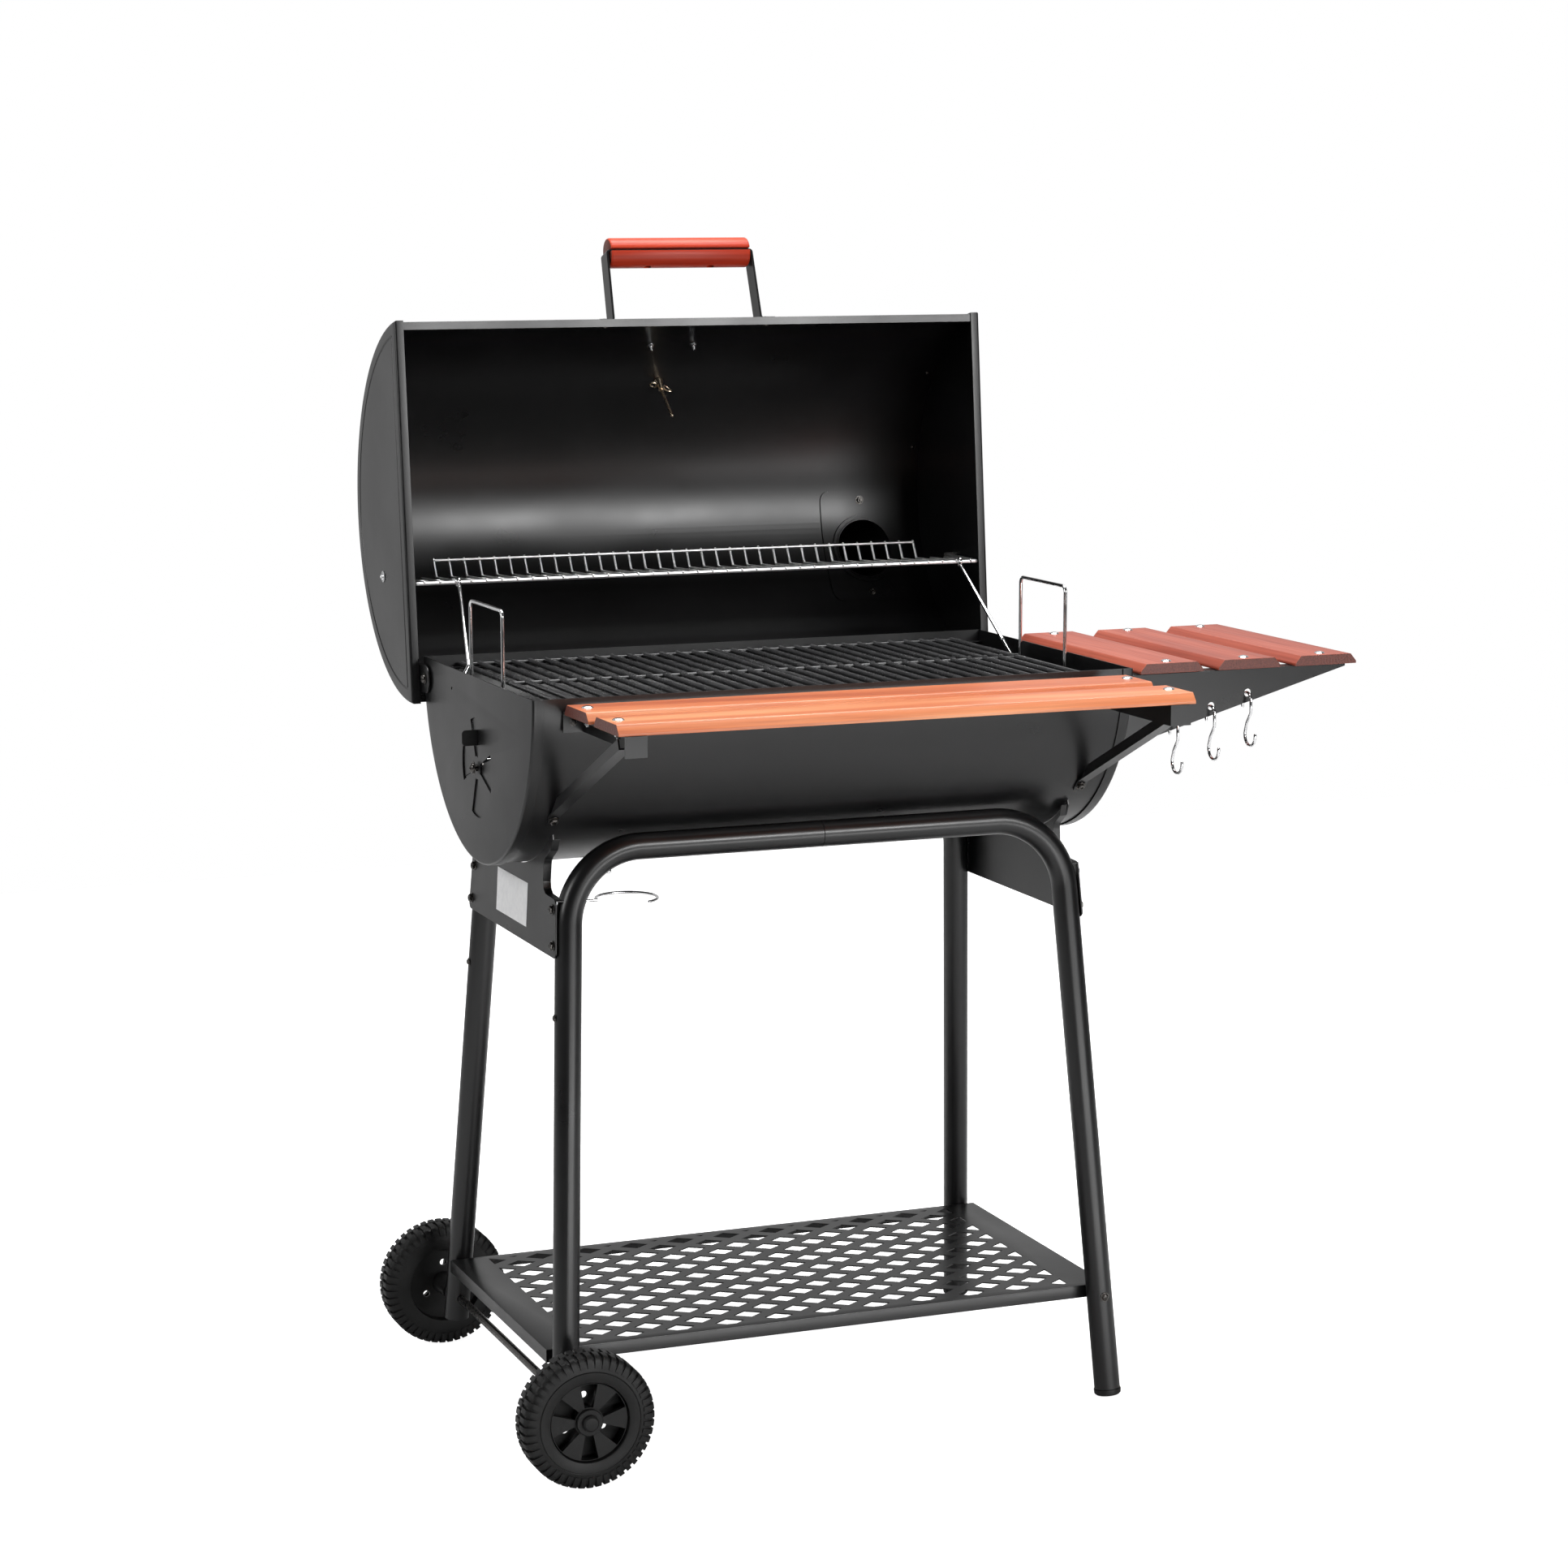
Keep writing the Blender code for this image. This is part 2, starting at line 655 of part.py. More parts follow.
def build_handle(paint, wood):
    """A flat strap bent into a bridge, with a half-round grip on each face of it."""
    foot, leg_x, rise, strap, half_w = 20 * MM, 100 * MM, 92 * MM, 3 * MM, 12 * MM
    base = 0.5 * MM
    outline = [
        (-leg_x - foot, base),
        (-leg_x, base),
        (-leg_x + strap * 0.6, base),
        (-leg_x + strap, rise),
        (leg_x - strap, rise),
        (leg_x - strap * 0.6, base),
        (leg_x + foot, base),
        (leg_x + foot, base + strap),
        (leg_x + strap * 0.4, base + strap),
        (leg_x, rise + strap),
        (-leg_x, rise + strap),
        (-leg_x - strap * 0.4, base + strap),
        (-leg_x - foot, base + strap),
    ]
    aim(prism("handle_strap", outline, -half_w, half_w, "Y", paint), HANDLE_ANGLE)
    grip_r, grip_half = 17.5 * MM, 95 * MM
    for word, start, level in (("outer", 0, rise + strap + GAP), ("inner", math.pi, rise - GAP)):
        section = [(y, level + z) for y, z in arc(grip_r, start, start + math.pi, 12)]
        aim(prism(f"handle_grip_{word}", section, -grip_half, grip_half, "X", wood), HANDLE_ANGLE)


def build_thermometer(zinc):
    """A dial on the outside, a stem through the lid, and the wing nut that holds it."""
    back, front = 0.6 * MM, 13 * MM
    steps = ((2 * MM, -98 * MM, back), (30 * MM, back, front))
    at, outward = lid_point(0, DIAL_ANGLE, LID_R), lid_normal(DIAL_ANGLE)
    lathe("thermometer", rod_profile(*steps), at, outward, zinc, 24)
    low, high = -12 * MM, -4 * MM
    ring = [(2.4 * MM, low), (7 * MM, low), (7 * MM, high), (2.4 * MM, high)]
    nut = lathe("thermometer_nut", ring, at, outward, zinc, 12, ring=True)
    for side in (-1, 1):
        x0, x1 = sorted((side * 6 * MM, side * 17 * MM))
        wing = blocks(f"join_wing_{side}", [(x0, x1, -1.5 * MM, 1.5 * MM, low - 3 * MM, high - 2 * MM)], zinc)
        aim(wing, DIAL_ANGLE)
        boolean(nut, wing, "UNION")


def build_name_plate(zinc):
    """A blank badge with two studs through the lid."""
    half, end_r, back, front = 34 * MM, 16 * MM, 1 * MM, 3 * MM
    outline = arc(end_r, -math.pi / 2, math.pi / 2, 8, (half, 0))
    outline += arc(end_r, math.pi / 2, 1.5 * math.pi, 8, (-half, 0))
    plate = prism("name_plate", outline, back, front, "Z", zinc)
    aim(plate, BADGE_ANGLE)
    for side in (-1, 1):
        profile = rod_profile((2 * MM, -12 * MM, (back + front) / 2))
        at = lid_point(side * STUD_X, BADGE_ANGLE, LID_R)
        boolean(plate, lathe(f"join_stud_{side}", profile, at, lid_normal(BADGE_ANGLE), zinc, 8), "UNION")


def build_chimney(paint):
    """A saddle with a collar, and the pipe that stands in it."""
    angles = (math.radians(88), math.radians(54))
    outline = arc(LID_R + 2 * MM, *angles, 8, (0, LID_AXIS_Z))
    outline += arc(LID_R + GAP, *reversed(angles), 8, (0, LID_AXIS_Z))
    half = 57 * MM
    base = prism("chimney_base", outline, CHIMNEY_X - half, CHIMNEY_X + half, "X", paint)
    axis = (CHIMNEY_X, CHIMNEY_Y, 0)
    up = (0, 0, 1)
    collar = rod_profile((CHIMNEY_R + 2.2 * MM, CHIMNEY_LOW_Z - 60 * MM, CHIMNEY_LOW_Z + 30 * MM))
    boolean(base, lathe("join_collar", collar, axis, up, paint), "UNION")
    lid_axis = (CHIMNEY_X, 0, LID_AXIS_Z)
    drill(base, "cut_saddle", lid_axis, (1, 0, 0), LID_R + GAP, 4 * half, 96)
    drill(base, "cut_bore", (CHIMNEY_X, CHIMNEY_Y, CHIMNEY_LOW_Z), up, CHIMNEY_R + 0.6 * MM, 4 * half)

    bore, low = CHIMNEY_R - SHEET, CHIMNEY_LOW_Z - 50 * MM
    profile = [(CHIMNEY_R, low), (CHIMNEY_R, CHIMNEY_TOP_Z), (bore, CHIMNEY_TOP_Z), (bore, low)]
    pipe = lathe("chimney_pipe", profile, axis, up, paint, ring=True)
    drill(pipe, "cut_pipe_end", lid_axis, (1, 0, 0), LID_R - 9 * MM, 4 * half, 96)
    return pipe


def build_chimney_cap(pipe, paint):
    """A cap that swings on a pin in the lug behind the pipe's mouth."""
    pin_y = CHIMNEY_Y + CHIMNEY_R + 7 * MM
    top = CHIMNEY_TOP_Z
    half, pin_r = 6 * MM, 2.5 * MM
    lug = (CHIMNEY_X - half, CHIMNEY_X + half, CHIMNEY_Y + CHIMNEY_R - SHEET / 2, pin_y + 7 * MM)
    boolean(pipe, blocks("join_lug", [(*lug, top - 4 * MM, top - 1 * MM)], paint), "UNION")
    pin_at = (CHIMNEY_X, pin_y, top)
    steps = ((pin_r, -2 * MM, 3.4 * MM), (5 * MM, 3.4 * MM, 5.4 * MM))
    boolean(pipe, lathe("join_cap_pin", rod_profile(*steps), pin_at, (0, 0, 1), paint, 12), "UNION")

    opening = math.radians(17.5)
    start, end = math.pi / 2 + opening, 2.5 * math.pi - opening
    outline = arc(CHIMNEY_R + 4 * MM, start, end, 24, (CHIMNEY_X, CHIMNEY_Y))
    outline += arc(9 * MM, 0, math.pi, 6, (CHIMNEY_X, pin_y))
    cap = prism("chimney_cap", outline, top + GAP, top + 2.8 * MM, "Z", paint)
    drill(cap, "cut_cap_pin", pin_at, (0, 0, 1), pin_r + 0.4 * MM)


def build_lid(paint, wood, zinc):
    """Everything that swings on the lid's hinge, built closed and then opened."""
    others = set(bpy.data.objects)
    build_lid_shell(paint)
    for side, word in ((-1, "left"), (1, "right")):
        build_lid_end(side, word, paint)
        build_hinge_ear(side, word, paint)
        build_push_nut(side, word, zinc)
    build_handle(paint, wood)
    build_thermometer(zinc)
    build_name_plate(zinc)
    build_chimney_cap(build_chimney(paint), paint)
    bpy.context.view_layer.update()
    pieces = set(bpy.data.objects) - others
    pivot = add_pivot("lid_hinge", (0, HINGE_Y, HINGE_Z))
    hang_on(pivot, pieces)
    pivot.rotation_euler.x = -OPEN_ANGLE


# ---------------------------------------------------------------- warming rack


def rack_pivot_closed():
    """Where the rack's pivot rod sits in the lid's ends, in the closed lid's (y, z)."""
    y = RACK_Y + RACK_DEPTH - HINGE_Y
    z = RACK_Z - HINGE_Z
    cos, sin = math.cos(OPEN_ANGLE), math.sin(OPEN_ANGLE)
    return HINGE_Y + y * cos - z * sin, HINGE_Z + y * sin + z * cos


def build_push_nut(side, word, zinc):
    """A pressed cap on the end of the rack's pivot rod, outside the lid's end."""
    bore, outer, thickness = 3 * MM, 7 * MM, 2 * MM
    ring = [(bore, 0), (outer, 0), (outer, thickness), (bore, thickness)]
    at = (side * (LID_HALF + GAP), *rack_pivot_closed())
    lathe(f"rack_push_nut_{word}", ring, at, (side, 0, 0), zinc, 12, ring=True)


def build_rack(chrome):
    """A wire rack with a fence along its back, hung on its rear rod."""
    half = RACK_WIRE / 2
    rear_y = RACK_Y + RACK_DEPTH
    fence_y = rear_y - 8 * MM
    low, high = RACK_Z - half, RACK_Z + half
    fence_top = high + FENCE_HEIGHT
    first_wire = -RACK_PITCH * (RACK_WIRES - 1) / 2
    first_post = -RACK_PITCH * (FENCE_POSTS - 1) / 2
    boxes = [
        (-RACK_HALF, RACK_HALF, RACK_Y - half, RACK_Y + half, low, high),
        (-RACK_PIVOT_HALF, RACK_PIVOT_HALF, rear_y - half, rear_y + half, low, high),
        (first_post, -first_post, fence_y - half, fence_y + half, fence_top - RACK_WIRE, fence_top),
    ]
    for i in range(RACK_WIRES):
        x = first_wire + i * RACK_PITCH
        boxes.append((x - half, x + half, RACK_Y - half, rear_y + half, low, high))
    for i in range(FENCE_POSTS):
        x = first_post + i * RACK_PITCH
        boxes.append((x - half, x + half, fence_y - half, fence_y + half, low, fence_top))
    rack = blocks("warming_rack", boxes, chrome)
    hang_on(add_pivot("rack_pivot", (0, rear_y, RACK_Z)), [rack])


def build_rack_legs(chrome):
    """Two wire legs, each pinned in the firebox's end and hooked round the rack's front rod."""
    eye_r = 5.2 * MM
    foot = Vector((0, HINGE_Y - RACK_DEPTH, HINGE_Z))
    top = Vector((0, RACK_Y, RACK_Z))
    lean = math.atan2(top.z - foot.z, top.y - foot.y)
    for side, word in ((-1, "left"), (1, "right")):
        eye_x = RACK_LEG_TOP_X[word]
        eye = arc(eye_r, lean + math.pi, lean + math.pi - math.radians(280), 8, (RACK_Y, RACK_Z))
        corners = [
            (side * (BARREL_HALF + 0.8 * MM), foot.y, foot.z),
            (side * RACK_LEG_FOOT_X, foot.y, foot.z),
            (RACK_LEG_KNEE_X[word], RACK_LEG_KNEE_Y, RACK_LEG_KNEE_Z),
            (eye_x, *eye[0]),
        ]
        path = rounded_path(corners, 3 * MM, 3)[:-1] + [(eye_x, y, z) for y, z in eye]
        leg = tube(f"rack_leg_{word}", path, RACK_LEG_R, chrome, 6)
        hang_on(add_pivot(f"rack_leg_pivot_{word}", (eye_x, foot.y, foot.z)), [leg])


# ---------------------------------------------------------------- frame and wheels


def leg_point(side_x, side_y, z):
    """A point on a leg's centre line."""
    return Vector((side_x * (FOOT_X - SPLAY_X * z), side_y * (FOOT_Y - SPLAY_Y * z), z))


def build_legs(paint, plastic):
    """Four tubes, each one leg and half of a rail, and a plug in each foot that stands on the ground."""
    for side_y, depth in ((-1, "front"), (1, "rear")):
        for side_x, word in ((-1, "left"), (1, "right")):
            end_z = LEFT_LEG_END_Z if side_x < 0 else RIGHT_LEG_END_Z
            corner = leg_point(side_x, side_y, RAIL_Z)
            corners = [leg_point(side_x, side_y, end_z), corner, (side_x * GAP, corner.y, RAIL_Z)]
            path = rounded_path(corners, LEG_BEND_R, 7)
            leg = tube(f"leg_{depth}_{word}", path, TUBE_R, paint, 16, TUBE_BORE_R)
            if side_x < 0:
                at = leg_point(-1, side_y, WHEEL_R)
                drill(leg, f"cut_axle_{depth}", at, (0, 1, 0), AXLE_R + 0.4 * MM, 60 * MM)
                continue
            down = (leg_point(1, side_y, 0) - corner).normalized()
            profile = rod_profile((13.8 * MM, -14 * MM, GAP), (17 * MM, GAP, 8 * MM))
            lathe(f"foot_plug_{depth}", profile, leg_point(1, side_y, end_z), down, plastic, 16)


def build_leg_plates(paint):
    """A sheet bolted flat on the outside of each pair of legs, cut to cradle the barrel."""
    lean = math.atan(SPLAY_X)
    along = 1 / math.cos(lean)
    cradle_r = SHELL_R + 1.5 * MM
    cradle_y = 146 * MM
    angle = math.acos(cradle_y / cradle_r)
    cradle = [(y, z * along) for y, z in arc(cradle_r, math.pi + angle, 2 * math.pi - angle, 16, (0, BARREL_Z))]
    side = [
        (148 * MM, 736 * MM),
        (140 * MM, 722 * MM),
        (119 * MM, 708 * MM),
        (118 * MM, 682 * MM),
        (121 * MM, 674 * MM),
        (129 * MM, 669 * MM),
        (163 * MM, 668 * MM),
        (168 * MM, 664 * MM),
        (175 * MM, PLATE_LOW_Z + 5 * MM),
        (170 * MM, PLATE_LOW_Z),
    ]
    side = [(y, z * along) for y, z in side]
    outline = cradle + side + [(-y, z) for y, z in reversed(side)]
    near = TUBE_R + 2 * GAP
    for sign, word in ((-1, "left"), (1, "right")):
        plate = prism(f"leg_plate_{word}", outline, sign * near, sign * (near + PLATE_T), "X", paint)
        plate.location.x = sign * FOOT_X
        plate.rotation_euler.y = -sign * lean


def build_bottom_shelf(paint):
    """A sheet with its four edges turned down."""
    x, y, t = SHELF_HALF_X, SHELF_HALF_Y, SHEET
    top, low = SHELF_TOP_Z, SHELF_TOP_Z - SHELF_EDGE
    boxes = [
        (-x, x, -y, y, top - t, top),
        (-x, -x + t, -y, y, low, top),
        (x - t, x, -y, y, low, top),
        (-x, x, -y, -y + t, low, top),
        (-x, x, y - t, y, low, top),
    ]
    blocks("bottom_shelf", boxes, paint)


def build_wheels(plastic, zinc):
    """An axle through the left legs, with a moulded wheel and a nut at each end."""
    center = Vector((WHEEL_X, 0, WHEEL_R))
    lathe("wheel_axle", rod_profile((AXLE_R, -AXLE_HALF, AXLE_HALF)), center, (0, 1, 0), zinc, 12)
    bore = AXLE_R + 0.4 * MM
    inner_y, outer_y = WHEEL_OUTER_Y - WHEEL_WIDTH, WHEEL_OUTER_Y
    boss_y = 243 * MM
    web_low, web_high = inner_y + 16 * MM, outer_y - 12 * MM
    profile = [
        (bore, boss_y),
        (13 * MM, boss_y),
        (15 * MM, web_low),
        (60 * MM, web_low),
        (62 * MM, inner_y + 2 * MM),
        (WHEEL_R - 6 * MM, inner_y),
        (WHEEL_R, inner_y + 6 * MM),
        (WHEEL_R, outer_y - 6 * MM),
        (WHEEL_R - 6 * MM, outer_y),
        (54 * MM, outer_y - 2 * MM),
        (50 * MM, web_high),
        (16 * MM, web_high),
        (13 * MM, outer_y - 2 * MM),
        (bore, outer_y - 2 * MM),
    ]
    nut_bore = bore / math.cos(math.pi / 6)
    nut = [(nut_bore, 0), (10 * MM, 0), (10 * MM, 6 * MM), (nut_bore, 6 * MM)]
    for side, word in ((-1, "front"), (1, "rear")):
        wheel = lathe(f"wheel_{word}", profile, center, (0, side, 0), plastic, 40, ring=True)
        hang_on(add_pivot(f"wheel_pivot_{word}", center), [wheel])
        at = center + Vector((0, side * (outer_y - 1.5 * MM), 0))
        lathe(f"axle_nut_{word}", nut, at, (0, side, 0), zinc, 6, ring=True)


# ---------------------------------------------------------------- shelves


def slat_section(start, low, width):
    """A board's section: flat below, its two long edges sloped in towards the top."""
    high = low + SLAT_T
    return [
        (start, low),
        (start + width, low),
        (start + width, low + 2 * MM),
        (start + width - SLAT_CHAMFER, high),
        (start + SLAT_CHAMFER, high),
        (start, low + 2 * MM),
    ]


def build_front_shelf(paint, wood):
    """Two slats on a pair of arms, each arm held up by a brace."""
    for i, word in enumerate(("inner", "outer")):
        start = FRONT_SLAT_BACK_Y - FRONT_SLAT_W - i * FRONT_SLAT_PITCH
        section = slat_section(start, FRONT_SLAT_Z, FRONT_SLAT_W)
        prism(f"front_slat_{word}", section, -FRONT_SLAT_HALF, FRONT_SLAT_HALF, "X", wood)
    top = FRONT_SLAT_Z - GAP
    low = top - ARM_HEIGHT
    back = -SHELL_R - 1 * MM
    for side, word in ((-1, "left"), (1, "right")):
        web = sorted((side * ARM_X, side * (ARM_X + PLATE_T)))
        flange = sorted((side * ARM_X, side * (ARM_X + ARM_FLANGE)))
        arm = [
            (*web, ARM_END_Y, back, low, top),
            (*flange, ARM_END_Y, back, top - PLATE_T, top),
            (*flange, ARM_END_Y, ARM_END_Y + PLATE_T, low, top),
            (*flange, back - PLATE_T, back, low, top),
        ]
        blocks(f"shelf_arm_{word}", arm, paint)
        build_brace(word, side * BRACE_X, paint)


def build_brace(word, x, paint):
    """An angle bar from inside an arm's front down to a tab that is bent onto the shell."""
    outward = Vector((math.cos(BRACE_ANGLE), math.sin(BRACE_ANGLE)))
    along = Vector((outward.y, -outward.x))
    seat = Vector((0, BARREL_Z)) + outward * (SHELL_R + GAP)
    bend = seat + along * 8 * MM
    tip = Vector((-426 * MM, 884 * MM))
    run = (tip - bend).normalized()
    under = Vector((-run.y, run.x))
    half_w, height = 7.5 * MM, 10 * MM
    end = seat - along * 9 * MM
    strip = [end, bend, tip, tip + under * PLATE_T, bend + under * PLATE_T, end + outward * PLATE_T]
    brace = prism(f"shelf_brace_{word}", strip, x - half_w, x + half_w, "X", paint)
    start, full = bend + run * 10 * MM, bend + run * 38 * MM
    web = [start + under * PLATE_T / 2, full - under * height, tip - under * height, tip + under * PLATE_T / 2]
    boolean(brace, prism(f"join_brace_{word}", web, x - half_w, x - half_w + PLATE_T, "X", paint), "UNION")


def side_edge_z(x):
    """Height of the side plates' sloping lower edge."""
    start, end = BARREL_HALF, SIDE_TIP_X
    low, high = 812 * MM, 899 * MM
    return low + (high - low) * (x - start) / (end - start)


def build_side_shelf(paint, wood, chrome):
    """Three slats on two triangular plates, and a row of S hooks in the front plate."""
    x0 = BARREL_HALF + GAP
    top = SIDE_SLAT_Z - GAP
    outline = [(x0, side_edge_z(x0)), (SIDE_TIP_X, side_edge_z(SIDE_TIP_X)), (SIDE_TIP_X, top), (x0, top)]
    for word, y, inward in (("front", SIDE_FRONT_Y, 1), ("rear", SIDE_REAR_Y, -1)):
        plate = prism(f"side_plate_{word}", outline, y, y + inward * PLATE_T, "Y", paint)
        y0, y1 = sorted((y, y + inward * 20 * MM))
        flanges = [
            (x0, SIDE_TIP_X, y0, y1, top - PLATE_T, top),
            (x0, x0 + PLATE_T, y0, y1, side_edge_z(x0), top),
        ]
        boolean(plate, blocks(f"join_flange_{word}", flanges, paint), "UNION")
        if word == "front":
            for i, x in enumerate(HOOK_XS):
                at = (x, y, side_edge_z(x) + 11.5 * MM)
                drill(plate, f"cut_hook_{i}", at, (0, 1, 0), HOOK_HOLE_R)
    for i in range(3):
        section = slat_section(SIDE_SLAT_X + i * SIDE_SLAT_PITCH, SIDE_SLAT_Z, SIDE_SLAT_W)
        start, end = SIDE_FRONT_Y - SIDE_OVERHANG, SIDE_REAR_Y + SIDE_OVERHANG
        prism(f"side_slat_{i + 1}", section, start, end, "Y", wood)
    for i, x in enumerate(HOOK_XS):
        build_hook(f"tool_hook_{i + 1}", (x, SIDE_FRONT_Y, side_edge_z(x) + 11.5 * MM), chrome)


def build_hook(name, at, chrome):
    """An S of wire in the YZ plane: its upper loop goes through the plate, its lower one faces forward."""
    upper_r, lower_r, drop = 12 * MM, 13 * MM, 52 * MM
    upper = arc(upper_r, math.radians(-40), math.radians(150), 8, (2 * MM, -upper_r))
    middle = [(-9 * MM, -24 * MM), (1 * MM, -drop + 14 * MM)]
    lower = arc(lower_r, math.radians(15), math.radians(-195), 9, (-8 * MM, -drop))
    x, y0, z0 = at
    path = [(x, y0 + y, z0 + z) for y, z in upper + middle + lower]
    hook = tube(name, path, HOOK_R, chrome, 6)
    hang_on(add_pivot(name + "_pivot", at), [hook])


def move_to_origin():
    """Put the origin on the ground, under the middle of the object."""
    bpy.context.view_layer.update()
    graph = bpy.context.evaluated_depsgraph_get()
    points = []
    for obj in bpy.data.objects:
        if obj.type == "MESH" and not obj.hide_render:
            mesh = obj.evaluated_get(graph).to_mesh()
            points += [obj.matrix_world @ vertex.co for vertex in mesh.vertices]
    low = [min(point[k] for point in points) for k in range(3)]
    high = [max(point[k] for point in points) for k in range(3)]
    shift = Vector(((low[0] + high[0]) / 2, (low[1] + high[1]) / 2, low[2]))
    for obj in bpy.data.objects:
        if obj.parent is None:
            obj.location -= shift


def main():
    clear_scene()
    paint = make_material("black_paint", (0.022, 0.022, 0.023), 0.45, 0.1)
    enamel = make_material("black_enamel", (0.012, 0.012, 0.013), 0.3, 0.1)
    wood = make_material("stained_wood", (0.45, 0.1, 0.035), 0.5, 0.0)
    chrome = make_material("chrome", (0.75, 0.75, 0.76), 0.15, 1.0)
    zinc = make_material("zinc", (0.35, 0.34, 0.32), 0.35, 1.0)
    plastic = make_material("black_plastic", (0.018, 0.018, 0.018), 0.6, 0.0)

    build_firebox(paint, zinc)
    build_damper(paint, zinc)
    build_grates(enamel)
    build_charcoal_pan(enamel, chrome)
    build_grease_ring(chrome)
    build_lid(paint, wood, zinc)
    build_rack(chrome)
    build_rack_legs(chrome)
    build_legs(paint, plastic)
    build_leg_plates(paint)
    build_bottom_shelf(paint)
    build_wheels(plastic, zinc)
    build_front_shelf(paint, wood)
    build_side_shelf(paint, wood, chrome)
    move_to_origin()


main()
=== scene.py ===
"""Looks for the barrel charcoal grill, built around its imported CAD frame.

Shapes are made in barrel coordinates: metres, with X = 0 and Y = 0 at the middle of the firebox.
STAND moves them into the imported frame. The lid's pieces are made closed, and LID opens them.
"""

import json
import math

import bmesh
import bpy
from mathutils import Matrix, Quaternion, Vector


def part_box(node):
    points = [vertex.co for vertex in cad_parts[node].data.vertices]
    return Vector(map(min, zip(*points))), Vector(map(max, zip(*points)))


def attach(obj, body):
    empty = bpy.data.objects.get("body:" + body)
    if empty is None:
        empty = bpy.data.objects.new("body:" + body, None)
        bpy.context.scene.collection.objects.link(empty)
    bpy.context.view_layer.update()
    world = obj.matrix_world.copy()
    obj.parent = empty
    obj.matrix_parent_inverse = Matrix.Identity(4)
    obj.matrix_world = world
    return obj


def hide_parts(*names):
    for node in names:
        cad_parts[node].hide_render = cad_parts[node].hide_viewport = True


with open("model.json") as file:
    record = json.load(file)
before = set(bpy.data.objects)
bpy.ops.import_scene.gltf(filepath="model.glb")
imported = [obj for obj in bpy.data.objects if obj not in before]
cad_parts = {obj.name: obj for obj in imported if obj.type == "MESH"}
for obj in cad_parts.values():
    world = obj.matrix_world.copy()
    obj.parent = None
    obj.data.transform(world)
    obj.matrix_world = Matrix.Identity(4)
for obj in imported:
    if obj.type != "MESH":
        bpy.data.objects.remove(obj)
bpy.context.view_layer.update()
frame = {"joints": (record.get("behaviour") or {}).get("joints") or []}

MM = 0.001
GAP = 0.3 * MM
SHARP = math.radians(35)
PIN_HOLE_R = 4.4 * MM
END_GRAIN = (0.07, 0.016, 0.010)
ALONG, UP = (1, 0, 0), (0, 0, 1)
SIDES = ((-1, "left"), (1, "right"))
ENDS = ((-1, "front"), (1, "rear"))

# Barrel.
BARREL_HALF = 381 * MM
BARREL_R = 225 * MM
BARREL_Z = 913 * MM
SHEET = 1.5 * MM
END_FLANGE = 14 * MM
END_CORNER = 3 * MM
SHELL_R = BARREL_R - SHEET - GAP
SHELL_HALF = BARREL_HALF - SHEET - GAP
ARC_STEPS = 96
LEDGE_Z = 898.5 * MM

# Lid, closed.
LID_HALF = 397 * MM
LID_R = 238.2 * MM
LID_LIP = 11.5 * MM
LID_RIM_Z = BARREL_Z - 6 * MM
LID_AXIS_Z = LID_RIM_Z - 16.6 * MM
LID_SHELL_R = LID_R - SHEET - GAP
LID_SHELL_HALF = LID_HALF - SHEET - GAP
HANDLE_ANGLE = 13.3
BADGE_ANGLE = 28
DIAL_ANGLE = 46
STUD_X = 29.5 * MM
CHIMNEY_X = 307.6 * MM
CHIMNEY_Y = 66 * MM
CHIMNEY_R = 40 * MM
CHIMNEY_TOP_Z = 1285 * MM
CHIMNEY_LOW_Z = 1120 * MM
CHIMNEY_AXIS = (CHIMNEY_X, CHIMNEY_Y, 0)
SADDLE_HALF = 57 * MM
HANDLE_RISE = 92 * MM
STRAP_T = 3 * MM

# Warming rack, as it stands with the lid open.
RACK_Y = 239.5 * MM
RACK_Z = 1002 * MM
RACK_DEPTH = 106 * MM
RACK_HALF = 384 * MM
RACK_PIVOT_HALF = 401.5 * MM
RACK_WIRES = 38
FENCE_POSTS = 34
RACK_PITCH = 20.2 * MM
FENCE_HEIGHT = 21 * MM
RACK_LEG_TOP_X = {"left": -329 * MM, "right": 358 * MM}
RACK_LEG_KNEE_X = {"left": -357 * MM, "right": 360 * MM}
RACK_LEG_KNEE_Y = 107 * MM
RACK_LEG_KNEE_Z = 914 * MM
RACK_LEG_FOOT_X = 374.5 * MM

# Frame.
TUBE_R = 16 * MM
TUBE_BORE_R = 14.6 * MM
FOOT_X = 356.7 * MM
FOOT_Y = 232.3 * MM
SPLAY_X = 0.0553
SPLAY_Y = 0.1079
RAIL_Z = 724 * MM
LEG_BEND_R = 92 * MM
LEFT_LEG_END_Z = 52 * MM
RIGHT_LEG_END_Z = 10 * MM
PLATE_T = 2 * MM
SHELF_HALF_X = 368 * MM
SHELF_HALF_Y = 200.5 * MM
SHELF_TOP_Z = 136.5 * MM
SHELF_EDGE = 16 * MM
WHEEL_R = 80.6 * MM
WHEEL_OUTER_Y = 318 * MM
WHEEL_WIDTH = 43 * MM
TREAD_LUGS = 48
AXLE_R = 5 * MM
WHEEL_X = -(FOOT_X - SPLAY_X * WHEEL_R)

